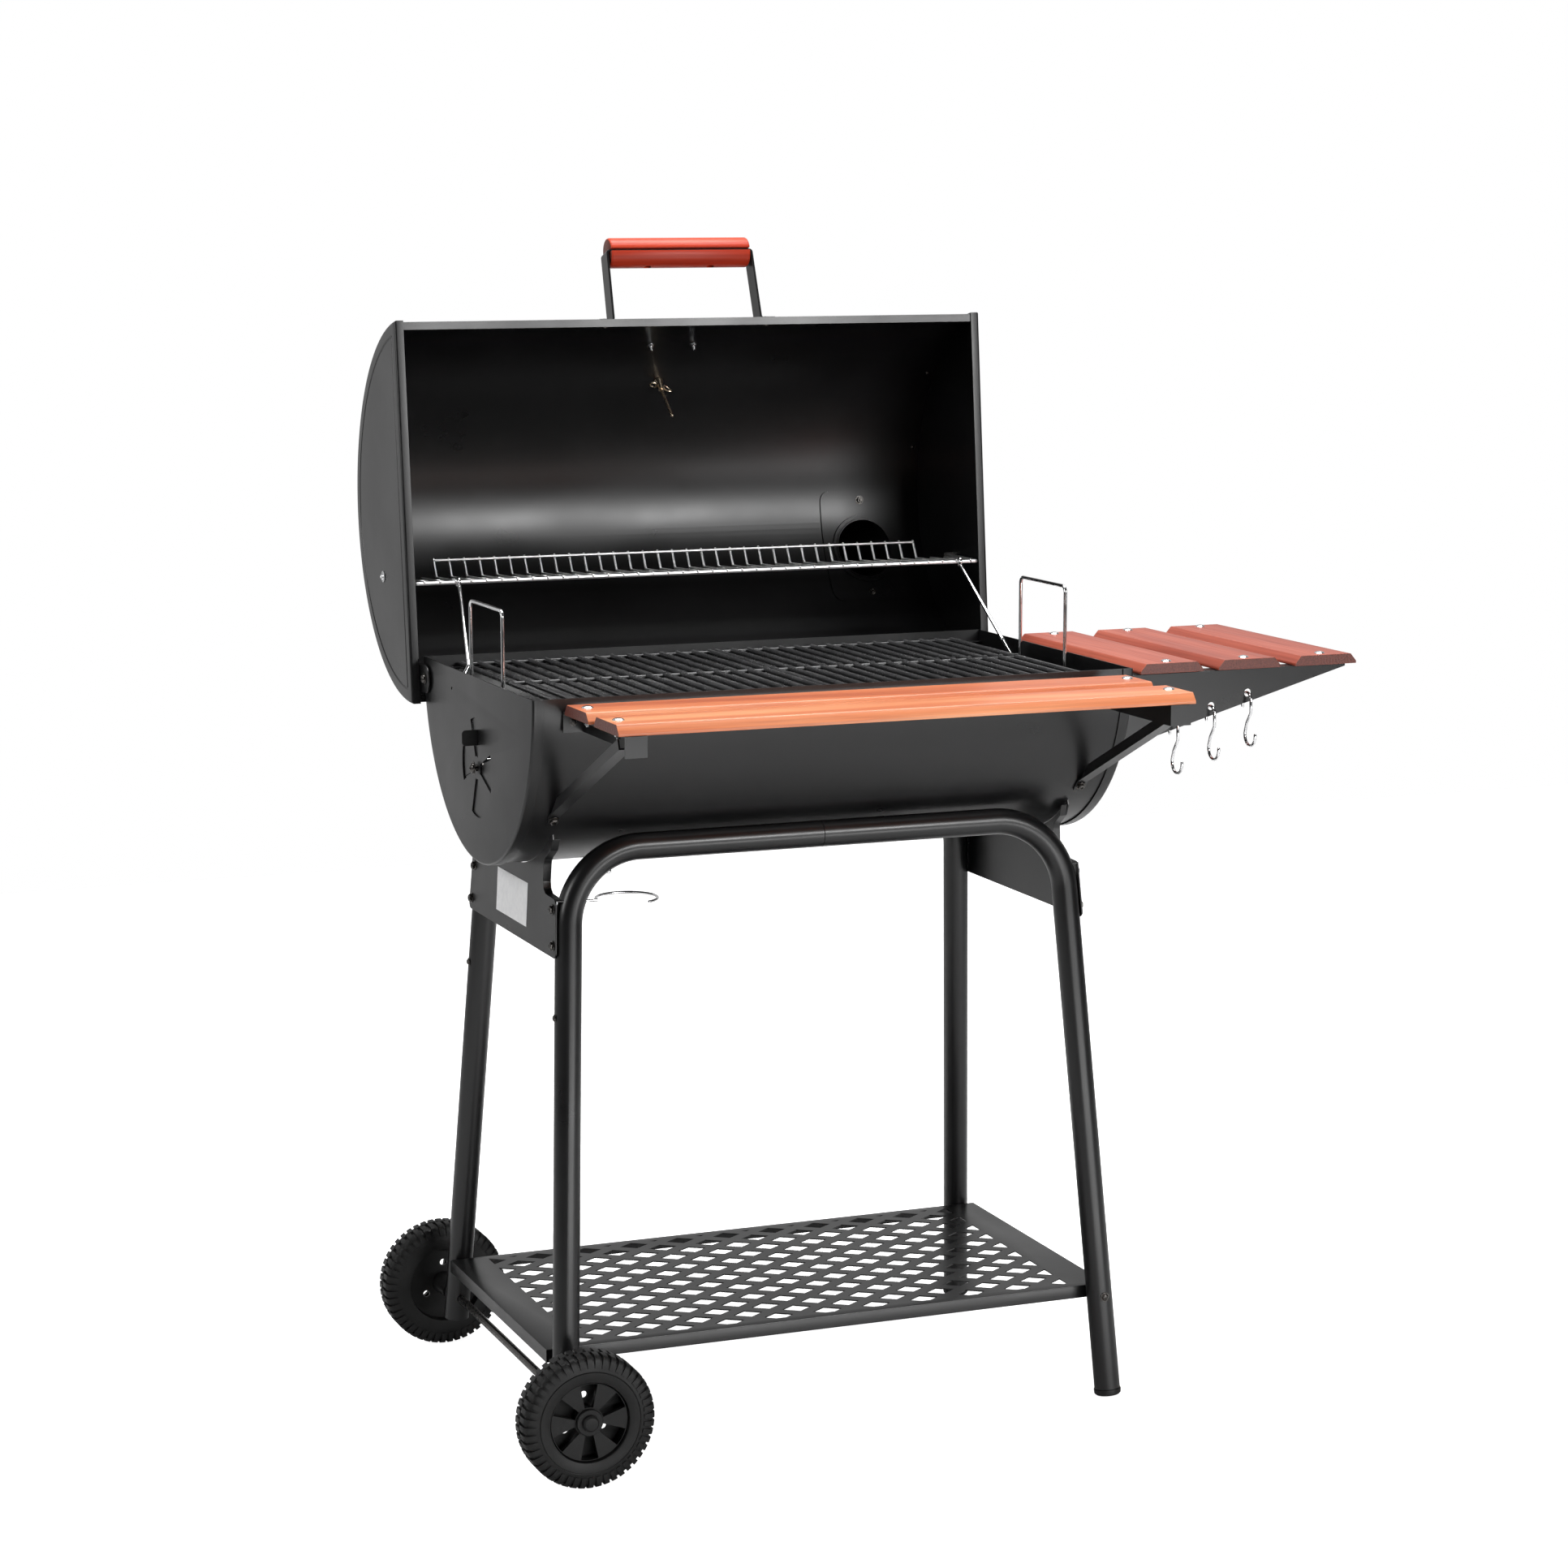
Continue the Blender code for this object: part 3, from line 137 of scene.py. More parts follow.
# Shelves.
SLAT_T = 12.5 * MM
SLAT_CHAMFER = 8 * MM
FRONT_SLAT_HALF = 352 * MM
FRONT_SLAT_W = 84 * MM
FRONT_SLAT_PITCH = 104 * MM
FRONT_SLAT_BACK_Y = -253 * MM
FRONT_SLAT_Z = 898.5 * MM
ARM_X = 319 * MM
ARM_END_Y = -442 * MM
ARM_HEIGHT = 24 * MM
ARM_FLANGE = 26 * MM
FRONT_BOLT_X = 338 * MM
FRONT_BOLT_YS = (-293 * MM, -399.5 * MM)
BRACE_X = 339.5 * MM
BRACE_ANGLE = math.radians(221.3)
SIDE_SLAT_W = 86 * MM
SIDE_SLAT_PITCH = 107 * MM
SIDE_SLAT_X = 400 * MM
SIDE_SLAT_Z = 902.5 * MM
SIDE_FRONT_Y = -200 * MM
SIDE_REAR_Y = 135 * MM
SIDE_TIP_X = 688 * MM
SIDE_OVERHANG = 7 * MM
SIDE_BOLT_YS = (-190 * MM, 125 * MM)
HOOK_XS = (451 * MM, 501.3 * MM, 551.6 * MM)
HOOK_HOLE_UP = 11.5 * MM

# Cooking grates, charcoal pan, drain hole and damper.
GRATE_OUTER_X = 338 * MM
GRATE_HALF_Y = 218 * MM
GRATE_BARS = 16
PAN_Z = 790 * MM
GREASE_X = -193 * MM
DAMPER_Z = 804 * MM
DAMPER_DISC_R = 66 * MM
VENTS = 4
VENT_R = 60 * MM

# Camera: where it stands in barrel coordinates, and the way it looks.
CAMERA_AT = (-1.6118, -4.1274, 1.4626)
CAMERA_YAW = 0.3715
CAMERA_PITCH = 0.1816
CAMERA_ROLL = 0.0028
CAMERA_LENS = 83.23
CAMERA_SHIFT = (0.00859, 0.05703)

# Studio: what the surroundings give as light, and each soft light's place, aim, size and power.
ROOM_LIGHT = 0.04
BACKDROP_LIGHT = 0.68
FLOOR_HALF = 3.6
FLOOR_COLOR = (0.78, 0.78, 0.78)
FLOOR_GLOW = 0.92
LIGHTS = (
    ("front_softbox", (1.25, -3.6, 1.85), (0.4, 0.4, 1.1), (1.7, 0.5), 70),
    ("front_low_softbox", (0.6, -3.0, 0.2), (0.2, 0, 0.75), (2.8, 0.35), 26),
    ("overhead_softbox", (0.2, 0.2, 3.3), (0.2, 0.1, 0.9), (2.6, 1.3), 125),
    ("left_softbox", (-3.2, -0.6, 2.0), (0, 0, 0.9), (1.0, 1.4), 30),
)

FIREBOX = [(low + high) / 2 for low, high in zip(*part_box("firebox_shell"))]
STAND = Matrix.Translation((FIREBOX[0], FIREBOX[1], 0))
JOINTS = {joint["name"]: joint for joint in frame["joints"]}
HINGE = Vector(JOINTS["lid_hinge"]["pos_m"]) - STAND.translation
OPEN_ANGLE = math.radians(JOINTS["lid_hinge"]["range_deg"][1])
SWING = Matrix.Translation(HINGE) @ Matrix.Rotation(-OPEN_ANGLE, 4, "X") @ Matrix.Translation(-HINGE)
LID = STAND @ SWING
RACK_PIVOT_CLOSED = SWING.inverted() @ Vector((0, RACK_Y + RACK_DEPTH, RACK_Z))


# ---------------------------------------------------------------- materials


class Shader:
    """A Principled material and the nodes that drive it, in the piece's own coordinates."""

    def __init__(self, name, color, roughness, metallic=0.0):
        self.material = bpy.data.materials.new(name)
        self.material.use_nodes = True
        self.nodes = self.material.node_tree.nodes
        self.links = self.material.node_tree.links
        self.main = self.nodes["Principled BSDF"]
        self.main.inputs["Base Color"].default_value = (*color, 1)
        self.main.inputs["Roughness"].default_value = roughness
        self.main.inputs["Metallic"].default_value = metallic
        self.place = self.nodes.new("ShaderNodeTexCoord").outputs["Object"]

    def mapping(self, scale, location=(0, 0, 0)):
        node = self.nodes.new("ShaderNodeMapping")
        node.inputs["Scale"].default_value = scale
        node.inputs["Location"].default_value = location
        self.links.new(self.place, node.inputs["Vector"])
        return node.outputs["Vector"]

    def noise(self, scale, detail=3, vector=None, distortion=0.0):
        node = self.nodes.new("ShaderNodeTexNoise")
        node.inputs["Scale"].default_value = scale
        node.inputs["Detail"].default_value = detail
        node.inputs["Distortion"].default_value = distortion
        self.links.new(vector or self.place, node.inputs["Vector"])
        return node.outputs["Fac"]

    def ramp(self, value, stops):
        """Colours for values from 0 to 1."""
        node = self.nodes.new("ShaderNodeValToRGB")
        elements = node.color_ramp.elements
        while len(elements) < len(stops):
            elements.new(0.5)
        for element, (at, color) in zip(elements, stops):
            element.position = at
            element.color = (*color, 1)
        self.links.new(value, node.inputs["Fac"])
        return node.outputs["Color"]

    def span(self, value, low, high, start=0.3, end=0.7):
        """A value from start to end, spread from low to high."""
        node = self.nodes.new("ShaderNodeMapRange")
        for socket, number in (("From Min", start), ("From Max", end), ("To Min", low), ("To Max", high)):
            node.inputs[socket].default_value = number
        self.links.new(value, node.inputs["Value"])
        return node.outputs["Result"]

    def mix(self, value, a, b, blend="MIX"):
        """Two colours mixed by a value or a fixed share."""
        node = self.nodes.new("ShaderNodeMix")
        node.data_type = "RGBA"
        node.blend_type = blend
        if isinstance(value, float):
            node.inputs["Factor"].default_value = value
        else:
            self.links.new(value, node.inputs["Factor"])
        for name, color in (("A", a), ("B", b)):
            socket = [s for s in node.inputs if s.name == name and s.type == "RGBA"][0]
            if isinstance(color, tuple):
                socket.default_value = (*color, 1)
            else:
                self.links.new(color, socket)
        return [s for s in node.outputs if s.type == "RGBA"][0]

    def facing(self, axis):
        """1 where the surface faces along an axis of the piece, 0 elsewhere."""
        normal = self.nodes.new("ShaderNodeTexCoord").outputs["Normal"]
        split = self.nodes.new("ShaderNodeSeparateXYZ")
        self.links.new(normal, split.inputs["Vector"])
        size = self.nodes.new("ShaderNodeMath")
        size.operation = "ABSOLUTE"
        self.links.new(split.outputs["XYZ"[axis]], size.inputs[0])
        return self.span(size.outputs["Value"], 0.0, 1.0, 0.8, 0.9)

    def drive(self, socket, value):
        self.links.new(value, self.main.inputs[socket])

    def tint(self, value, dark, light, end=0.7):
        """A base colour that goes from dark to light with a value."""
        self.drive("Base Color", self.ramp(value, ((0.3, dark), (end, light))))

    def bump(self, height, strength, distance):
        node = self.nodes.new("ShaderNodeBump")
        node.inputs["Strength"].default_value = strength
        node.inputs["Distance"].default_value = distance
        self.links.new(height, node.inputs["Height"])
        previous = self.main.inputs["Normal"]
        if previous.is_linked:
            self.links.new(previous.links[0].from_socket, node.inputs["Normal"])
        self.links.new(node.outputs["Normal"], previous)


def make_paint():
    """Satin black heat-resistant paint with a faint orange peel."""
    shader = Shader("satin_black_paint", (0.004, 0.004, 0.0043), 0.34)
    cloud = shader.noise(9, 4)
    shader.tint(cloud, (0.0035, 0.0035, 0.0038), (0.0055, 0.0055, 0.006))
    shader.drive("Roughness", shader.span(cloud, 0.27, 0.34))
    shader.bump(shader.noise(900, 2), 0.08, 0.0003)
    return shader.material


def make_enamel(name, color, low, high):
    """Black porcelain enamel, glossier or duller."""
    shader = Shader(name, color, low)
    cloud = shader.noise(30, 3)
    shader.tint(cloud, color, tuple(c * 1.4 for c in color))
    shader.drive("Roughness", shader.span(cloud, low, high))
    shader.bump(shader.noise(260, 2), 0.15, 0.0005)
    return shader.material


def stretched(along, across, lengthwise):
    """A texture's scale across the grain and along it."""
    return tuple(lengthwise if axis == along else across for axis in range(3))


def make_wood(name, along, dark, middle, light, shine=0.5):
    """Stained softwood. Its grain runs along one axis, 0 for X or 1 for Y, and its sawn ends are darker."""
    shader = Shader(name, middle, 0.5)
    shader.main.inputs["Specular IOR Level"].default_value = shine
    figure = shader.noise(1.0, 5, shader.mapping(stretched(along, 17.0, 1.6)), 0.6)
    pores = shader.noise(1.0, 2, shader.mapping(stretched(along, 420.0, 9.0)))
    rings = shader.nodes.new("ShaderNodeTexWave")
    rings.wave_type = "RINGS"
    rings.rings_direction = "XY"[along]
    for socket, number in (("Scale", 1.0), ("Distortion", 2.2), ("Detail", 3), ("Detail Scale", 0.8)):
        rings.inputs[socket].default_value = number
    heart = (3.1, 5.3, -64.0)
    shader.links.new(shader.mapping(stretched(along, 75.0, 1.6), heart), rings.inputs["Vector"])
    color = shader.ramp(figure, ((0.25, dark), (0.5, middle), (0.78, light)))
    ring_tint = shader.ramp(rings.outputs["Fac"], ((0.0, (0.72, 0.66, 0.62)), (0.6, (1.0, 1.0, 1.0))))
    color = shader.mix(0.3, color, ring_tint, "MULTIPLY")
    pore_tint = shader.ramp(pores, ((0.3, (0.7, 0.62, 0.6)), (0.5, (1.0, 1.0, 1.0))))
    color = shader.mix(0.5, color, pore_tint, "MULTIPLY")
    pale_end = tuple(c * 2.2 for c in END_GRAIN)
    cells = shader.ramp(shader.noise(900, 3), ((0.35, END_GRAIN), (0.65, pale_end)))
    shader.drive("Base Color", shader.mix(shader.facing(along), color, cells))
    shader.drive("Roughness", shader.span(pores, 0.46, 0.34))
    shader.bump(pores, 0.25, 0.0004)
    shader.bump(rings.outputs["Fac"], 0.08, 0.0005)
    return shader.material


def make_metal(name, color, low, high, scale):
    """A bare or plated metal whose roughness varies a little."""
    shader = Shader(name, color, low, 1.0)
    cloud = shader.noise(scale, 3)
    shader.tint(cloud, tuple(c * 0.82 for c in color), color, 0.65)
    shader.drive("Roughness", shader.span(cloud, high, low))
    shader.bump(shader.noise(scale * 12, 2), 0.03, 0.0002)
    return shader.material


def make_plastic():
    """Moulded black plastic with a fine grain."""
    shader = Shader("moulded_black_plastic", (0.006, 0.006, 0.006), 0.5)
    shader.main.inputs["Specular IOR Level"].default_value = 0.3
    cloud = shader.noise(40, 3)
    shader.tint(cloud, (0.005, 0.005, 0.005), (0.008, 0.008, 0.008))
    shader.drive("Roughness", shader.span(cloud, 0.42, 0.58))
    shader.bump(shader.noise(1700, 2), 0.12, 0.0003)
    return shader.material


def make_label():
    """A blank printed foil: a pale ground with a faint sheen."""
    shader = Shader("blank_label", (0.85, 0.85, 0.85), 0.4)
    cloud = shader.noise(120, 2)
    shader.tint(cloud, (0.80, 0.80, 0.81), (0.88, 0.88, 0.88))
    shader.bump(cloud, 0.05, 0.0002)
    return shader.material


PAINT = make_paint()
ENAMEL = make_enamel("gloss_black_enamel", (0.007, 0.007, 0.008), 0.2, 0.34)
GRATE_ENAMEL = make_enamel("worn_black_enamel", (0.03, 0.03, 0.031), 0.2, 0.32)
FRONT_WOOD = make_wood(
    "orange_stained_wood", 0, (0.38, 0.078, 0.028), (0.58, 0.165, 0.062), (0.80, 0.36, 0.17)
)
SIDE_WOOD = make_wood("red_stained_wood", 1, (0.22, 0.040, 0.022), (0.34, 0.066, 0.036), (0.46, 0.11, 0.062))
GRIP_WOOD = make_wood(
    "red_grip_wood", 0, (0.27, 0.016, 0.005), (0.40, 0.030, 0.009), (0.54, 0.065, 0.018), 0.3
)
CHROME = make_metal("chrome_plate", (0.88, 0.88, 0.89), 0.12, 0.24, 60)
RACK_CHROME = make_metal("rack_chrome", (0.95, 0.95, 0.95), 0.3, 0.42, 60)
BRIGHT = make_metal("bright_bolt", (0.82, 0.83, 0.84), 0.14, 0.26, 180)
BRASS = make_metal("tarnished_brass", (0.72, 0.60, 0.45), 0.2, 0.34, 200)
DARK_STEEL = make_metal("black_oxide_bolt", (0.10, 0.095, 0.09), 0.22, 0.36, 200)
PLASTIC = make_plastic()
LABEL = make_label()


# ---------------------------------------------------------------- shapes


def arc(radius, start, end, steps, center=(0.0, 0.0)):
    """Points of a plane arc, angles in radians."""
    return [
        (
            center[0] + radius * math.cos(start + (end - start) * i / steps),
            center[1] + radius * math.sin(start + (end - start) * i / steps),
        )
        for i in range(steps + 1)
    ]


def in_mm(*points):
    """Points given in millimetres."""
    return [tuple(value * MM for value in point) for point in points]


def lower_arc(radius, below=0.0, steps=ARC_STEPS):
    """An arc through the bottom, from -Y to +Y, cut off at a height below its centre."""
    lean = math.asin(below / radius)
    return arc(radius, math.pi + lean, 2 * math.pi - lean, steps)


def upper_arc(radius, above, steps=ARC_STEPS):
    """An arc over the top, from -Y to +Y, cut off at a height above its centre."""
    lean = math.asin(above / radius)
    return arc(radius, math.pi - lean, lean, steps)


def rounded_rectangle(x0, x1, y0, y1, radius, steps):
    """A rectangle's outline with rounded corners."""
    points = []
    x0, x1, y0, y1 = x0 + radius, x1 - radius, y0 + radius, y1 - radius
    for k, center in enumerate(((x1, y1), (x0, y1), (x0, y0), (x1, y0))):
        points += arc(radius, math.pi / 2 * k, math.pi / 2 * (k + 1), steps, center)
    return points


def raised(points, z):
    """(y, z) points moved up."""
    return [(a, b + z) for a, b in points]


def loft(loops, closed=True):
    """Walls between loops of equal length, with the first and the last loop filled in."""
    bm = bmesh.new()
    loops = [[bm.verts.new(p) for p in loop] for loop in loops]
    bm.faces.new(loops[0])
    bm.faces.new(loops[-1])
    count = len(loops[0])
    for near, far in zip(loops, loops[1:]):
        for i in range(count if closed else count - 1):
            j = (i + 1) % count
            bm.faces.new((near[i], near[j], far[j], far[i]))
    if not closed:
        bm.faces.new([loop[0] for loop in loops] + [loop[-1] for loop in reversed(loops)])
    return bm


def prism(outline, start, end, axis):
    """A straight prism: the outline in the two other axes, extruded from start to end."""
    order = {"X": (2, 0, 1), "Y": (0, 2, 1), "Z": (0, 1, 2)}[axis]
    loops = []
    for height in (start, end):
        points = [(a, b, height) for a, b in outline]
        loops.append([[values[k] for k in order] for values in points])
    return loft(loops)


def box(x0, x1, y0, y1, z0, z1):
    """An axis-aligned block."""
    return prism([(x0, y0), (x1, y0), (x1, y1), (x0, y1)], z0, z1, "Z")


def toward(at, direction):
    """A matrix that stands local Z along a direction at a point."""
    turn = Vector((0, 0, 1)).rotation_difference(Vector(direction).normalized())
    return Matrix.Translation(at) @ turn.to_matrix().to_4x4()


def lathe(profile, at=(0, 0, 0), direction=(0, 0, 1), sides=32, ring=False):
    """Turn a profile of (radius, distance along the axis) about a line."""
    place = toward(at, direction)
    bm = bmesh.new()
    loops = []
    for radius, height in profile:
        if radius == 0:
            loops.append([bm.verts.new(place @ Vector((0, 0, height)))])
            continue
        loop = []
        for i in range(sides):
            turn = math.tau * i / sides
            spot = Vector((radius * math.cos(turn), radius * math.sin(turn), height))
            loop.append(bm.verts.new(place @ spot))
        loops.append(loop)
    pairs = list(zip(loops, loops[1:]))
    if ring:
        pairs.append((loops[-1], loops[0]))
    for low, high in pairs:
        for i in range(sides):
            j = (i + 1) % sides
            if len(low) == 1:
                bm.faces.new((low[0], high[j], high[i]))
            elif len(high) == 1:
                bm.faces.new((low[i], low[j], high[0]))
            else:
                bm.faces.new((low[i], low[j], high[j], high[i]))
    return bm


def rounded_path(corners, radius, steps=8):
    """A path through the corners, with each inner corner turned at the given radius."""
    points = [Vector(corners[0])]
    for before, here, after in zip(corners, corners[1:], corners[2:]):
        here = Vector(here)
        back = (Vector(before) - here).normalized()
        ahead = (Vector(after) - here).normalized()
        half = back.angle(ahead) / 2
        reach = radius / math.tan(half)
        center = here + (back + ahead).normalized() * radius / math.sin(half)
        start = here + back * reach - center
        sweep = Quaternion(start.cross(here + ahead * reach - center).normalized(), math.pi - 2 * half)
        for i in range(steps + 1):
            points.append(center + Quaternion(sweep.axis, sweep.angle * i / steps) @ start)
    points.append(Vector(corners[-1]))
    return points


def heading(path, i):
    """The way a path runs at one of its points."""
    before = (path[i] - path[max(i - 1, 0)]).normalized()
    after = (path[min(i + 1, len(path) - 1)] - path[i]).normalized()
    return (before + after).normalized()


def tube(path, radius, sides=16, bore=None, dome=False):
    """A round rod along a path, or a tube with a bore. dome rounds the ends of a rod."""
    path = [Vector(p) for p in path]
    radii = [radius] * len(path)
    if dome:
        first = (path[0] - path[1]).normalized()
        last = (path[-1] - path[-2]).normalized()
        before, after = [], []
        for turn in (75, 45, 20):
            share = math.radians(turn)
            before.append((path[0] + first * radius * (math.sin(share) - 1), radius * math.cos(share)))
            after.append((path[-1] + last * radius * (math.sin(share) - 1), radius * math.cos(share)))
        middle = list(zip(path, radii))
        middle[0] = (path[0] - first * radius, radius)
        middle[-1] = (path[-1] - last * radius, radius)
        path, radii = map(list, zip(*(before + middle + after[::-1])))
    bm = bmesh.new()
    walls = [1.0] if bore is None else [1.0, bore / radius]
    rings = {wall: [] for wall in walls}
    tangent = (path[1] - path[0]).normalized()
    side = tangent.orthogonal().normalized()
    for i, point in enumerate(path):
        ahead = heading(path, i)
        side = (tangent.rotation_difference(ahead) @ side).normalized()
        tangent = ahead
        other = tangent.cross(side)
        for wall in walls:
            reach = wall * radii[i]
            ring = []
            for k in range(sides):
                turn = math.tau * k / sides
                spot = point + reach * math.cos(turn) * side + reach * math.sin(turn) * other
                ring.append(bm.verts.new(spot))
            rings[wall].append(ring)
    for wall in walls:
        for low, high in zip(rings[wall], rings[wall][1:]):
            for k in range(sides):
                j = (k + 1) % sides
                bm.faces.new((low[k], low[j], high[j], high[k]))
    for end in (0, -1):
        outer = rings[1.0][end]
        if bore is None:
            bm.faces.new(outer)
            continue
        inner = rings[walls[1]][end]
        for k in range(sides):
            j = (k + 1) % sides
            bm.faces.new((outer[k], outer[j], inner[j], inner[k]))
    return bm


def as_mesh(bm):
    """A mesh with its faces looking outward. The bmesh is used up."""
    bmesh.ops.recalc_face_normals(bm, faces=bm.faces)
    mesh = bpy.data.meshes.new("shape")
    bm.to_mesh(mesh)
    bm.free()
    return mesh


def merge(*shapes):
    """Several closed shapes in one bmesh."""
    bm = bmesh.new()
    for shape in shapes:
        mesh = as_mesh(shape)
        bm.from_mesh(mesh)
        bpy.data.meshes.remove(mesh)
    return bm


def stamp(template, places):
    """Copies of a mesh at each matrix, in one bmesh."""
    bm = bmesh.new()
    for place in places:
        start = len(bm.verts)
        bm.from_mesh(template)
        bm.verts.ensure_lookup_table()
        bmesh.ops.transform(bm, matrix=place, verts=bm.verts[start:])
    return bm


def carve(shape, cutters, operation="DIFFERENCE"):
    """The shape with the cutters taken away, or joined on."""
    objects = []
    for piece in (shape, *cutters):
        obj = bpy.data.objects.new("temporary", as_mesh(piece))
        bpy.context.scene.collection.objects.link(obj)
        objects.append(obj)
    for cutter in objects[1:]:
        modifier = objects[0].modifiers.new("cut", "BOOLEAN")
        modifier.operation = operation
        modifier.object = cutter
        modifier.solver = "EXACT"
    graph = bpy.context.evaluated_depsgraph_get()
    mesh = bpy.data.meshes.new_from_object(objects[0].evaluated_get(graph))
    bm = bmesh.new()
    bm.from_mesh(mesh)
    for obj in objects:
        bpy.data.objects.remove(obj)
    return bm


def drill(at, direction, radius, length=20 * MM, sides=32):
    """A cutter for a round hole, centred on a point."""
    profile = [(0, -length / 2), (radius, -length / 2), (radius, length / 2), (0, length / 2)]
    return lathe(profile, at, direction, sides)


def add_piece(name, bm, material, body, nodes=(), place=None, bevel=0.0):
    """A finished piece: placed in the frame, smoothed, riding on its body."""
    bmesh.ops.recalc_face_normals(bm, faces=bm.faces)
    bm.transform(place or STAND)
    mesh = bpy.data.meshes.new(name)
    bm.to_mesh(mesh)
    bm.free()
    mesh.materials.clear()
    mesh.materials.append(material)
    mesh.polygons.foreach_set("use_smooth", [True] * len(mesh.polygons))
    mesh.polygons.foreach_set("material_index", [0] * len(mesh.polygons))
    if not bevel:
        mesh.set_sharp_from_angle(angle=SHARP)
    obj = bpy.data.objects.new(name, mesh)
    bpy.context.scene.collection.objects.link(obj)
    if bevel:
        modifier = obj.modifiers.new("soft edges", "BEVEL")
        modifier.width = bevel
        modifier.segments = 2
        modifier.limit_method = "ANGLE"
        modifier.angle_limit = SHARP
        modifier.harden_normals = True
    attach(obj, body)
    if nodes:
        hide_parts(*nodes)
    return obj


def add_painted(name, bm, body, node=None, place=None, bevel=0.0):
    """A finished piece in black paint that stands for one CAD node, or for none."""
    return add_piece(name, bm, PAINT, body, [node] if node else (), place, bevel)


# ---------------------------------------------------------------- fasteners, as templates along +Z


def make_hex_template():
    """A washer, a hex head and the cross in its top. One unit is the head's half width."""
    washer = lathe([(0, 0), (1.35, 0), (1.4, 0.1), (1.35, 0.22), (0, 0.22)], sides=32)
    head = lathe([(0, 0.2), (1.0, 0.2), (1.05, 0.3), (1.05, 0.75), (0.85, 0.95), (0, 0.95)], sides=6)
    slots = [box(-0.55, 0.55, -0.1, 0.1, 0.7, 1.2), box(-0.1, 0.1, -0.55, 0.55, 0.7, 1.2)]
    return as_mesh(merge(washer, carve(head, slots)))


def make_pan_template():
    """A washer and a domed screw head with a cross recess. One unit is the head's radius."""
    washer = lathe([(0, 0), (1.3, 0), (1.35, 0.08), (1.3, 0.18), (0, 0.18)], sides=32)
    dome = [(0, 0.15), (1.0, 0.15), (1.0, 0.3), (0.92, 0.5), (0.75, 0.66), (0.45, 0.78), (0, 0.82)]
    slots = [box(-0.5, 0.5, -0.11, 0.11, 0.5, 1.2), box(-0.11, 0.11, -0.5, 0.5, 0.5, 1.2)]
    return as_mesh(merge(washer, carve(lathe(dome, sides=32), slots)))


def make_dome_template():
    """A carriage bolt's low dome. One unit is its radius."""
    dome = [(0, -0.05), (1.0, -0.05), (1.0, 0.04), (0.85, 0.2), (0.6, 0.32), (0.3, 0.39), (0, 0.41)]
    return as_mesh(lathe(dome))


def make_nut_template():
    """A nut on a washer with the bolt's end in it. One unit is the nut's half width."""
    washer = lathe([(0, 0), (1.45, 0), (1.5, 0.1), (1.45, 0.22), (0, 0.22)], sides=32)
    nut = lathe([(0, 0.2), (1.0, 0.2), (1.1, 0.32), (1.1, 0.9), (1.0, 1.02), (0, 1.02)], sides=6)
    end = lathe([(0, 0.9), (0.55, 0.9), (0.55, 1.5), (0.45, 1.62), (0, 1.62)], sides=16)
    return as_mesh(merge(washer, nut, end))


HEX = make_hex_template()
PAN_HEAD = make_pan_template()
DOME = make_dome_template()
NUT = make_nut_template()


def sized(at, direction, size):
    """A matrix that puts a fastener template at a point, at a size."""
    return toward(at, direction) @ Matrix.Scale(size, 4)


def add_fasteners(name, template, places, body="stand", place=None, material=DARK_STEEL):
    """Copies of one fastener as a single piece."""
    return add_piece(name, stamp(template, places), material, body, (), place)


# ---------------------------------------------------------------- firebox


def end_rings(outline, half, flange, corner, side):
    """Loops of a pressed end with a rounded edge, from its face round to its inner floor."""
    steps = 5
    loops = [(half, corner)]
    for i in range(1, steps + 1):
        turn = math.pi / 2 * i / steps
        loops.append((half - corner * (1 - math.cos(turn)), corner * (1 - math.sin(turn))))
    loops += [(half - flange, 0), (half - flange, SHEET)]
    loops += [(half - corner, SHEET), (half - SHEET - 0.3 * corner, SHEET + 0.3 * corner)]
    loops.append((half - SHEET, corner))
    return [[(side * x, y, z) for y, z in outline(offset)] for x, offset in loops]


def vent_wedge(middle, half_angle, outer, inner=14 * MM):
    """A wedge about the damper's centre, in (y, z)."""
    center = (0, DAMPER_Z)
    wedge = arc(outer, middle - half_angle, middle + half_angle, 12, center)
    return wedge + arc(inner, middle + half_angle, middle - half_angle, 4, center)


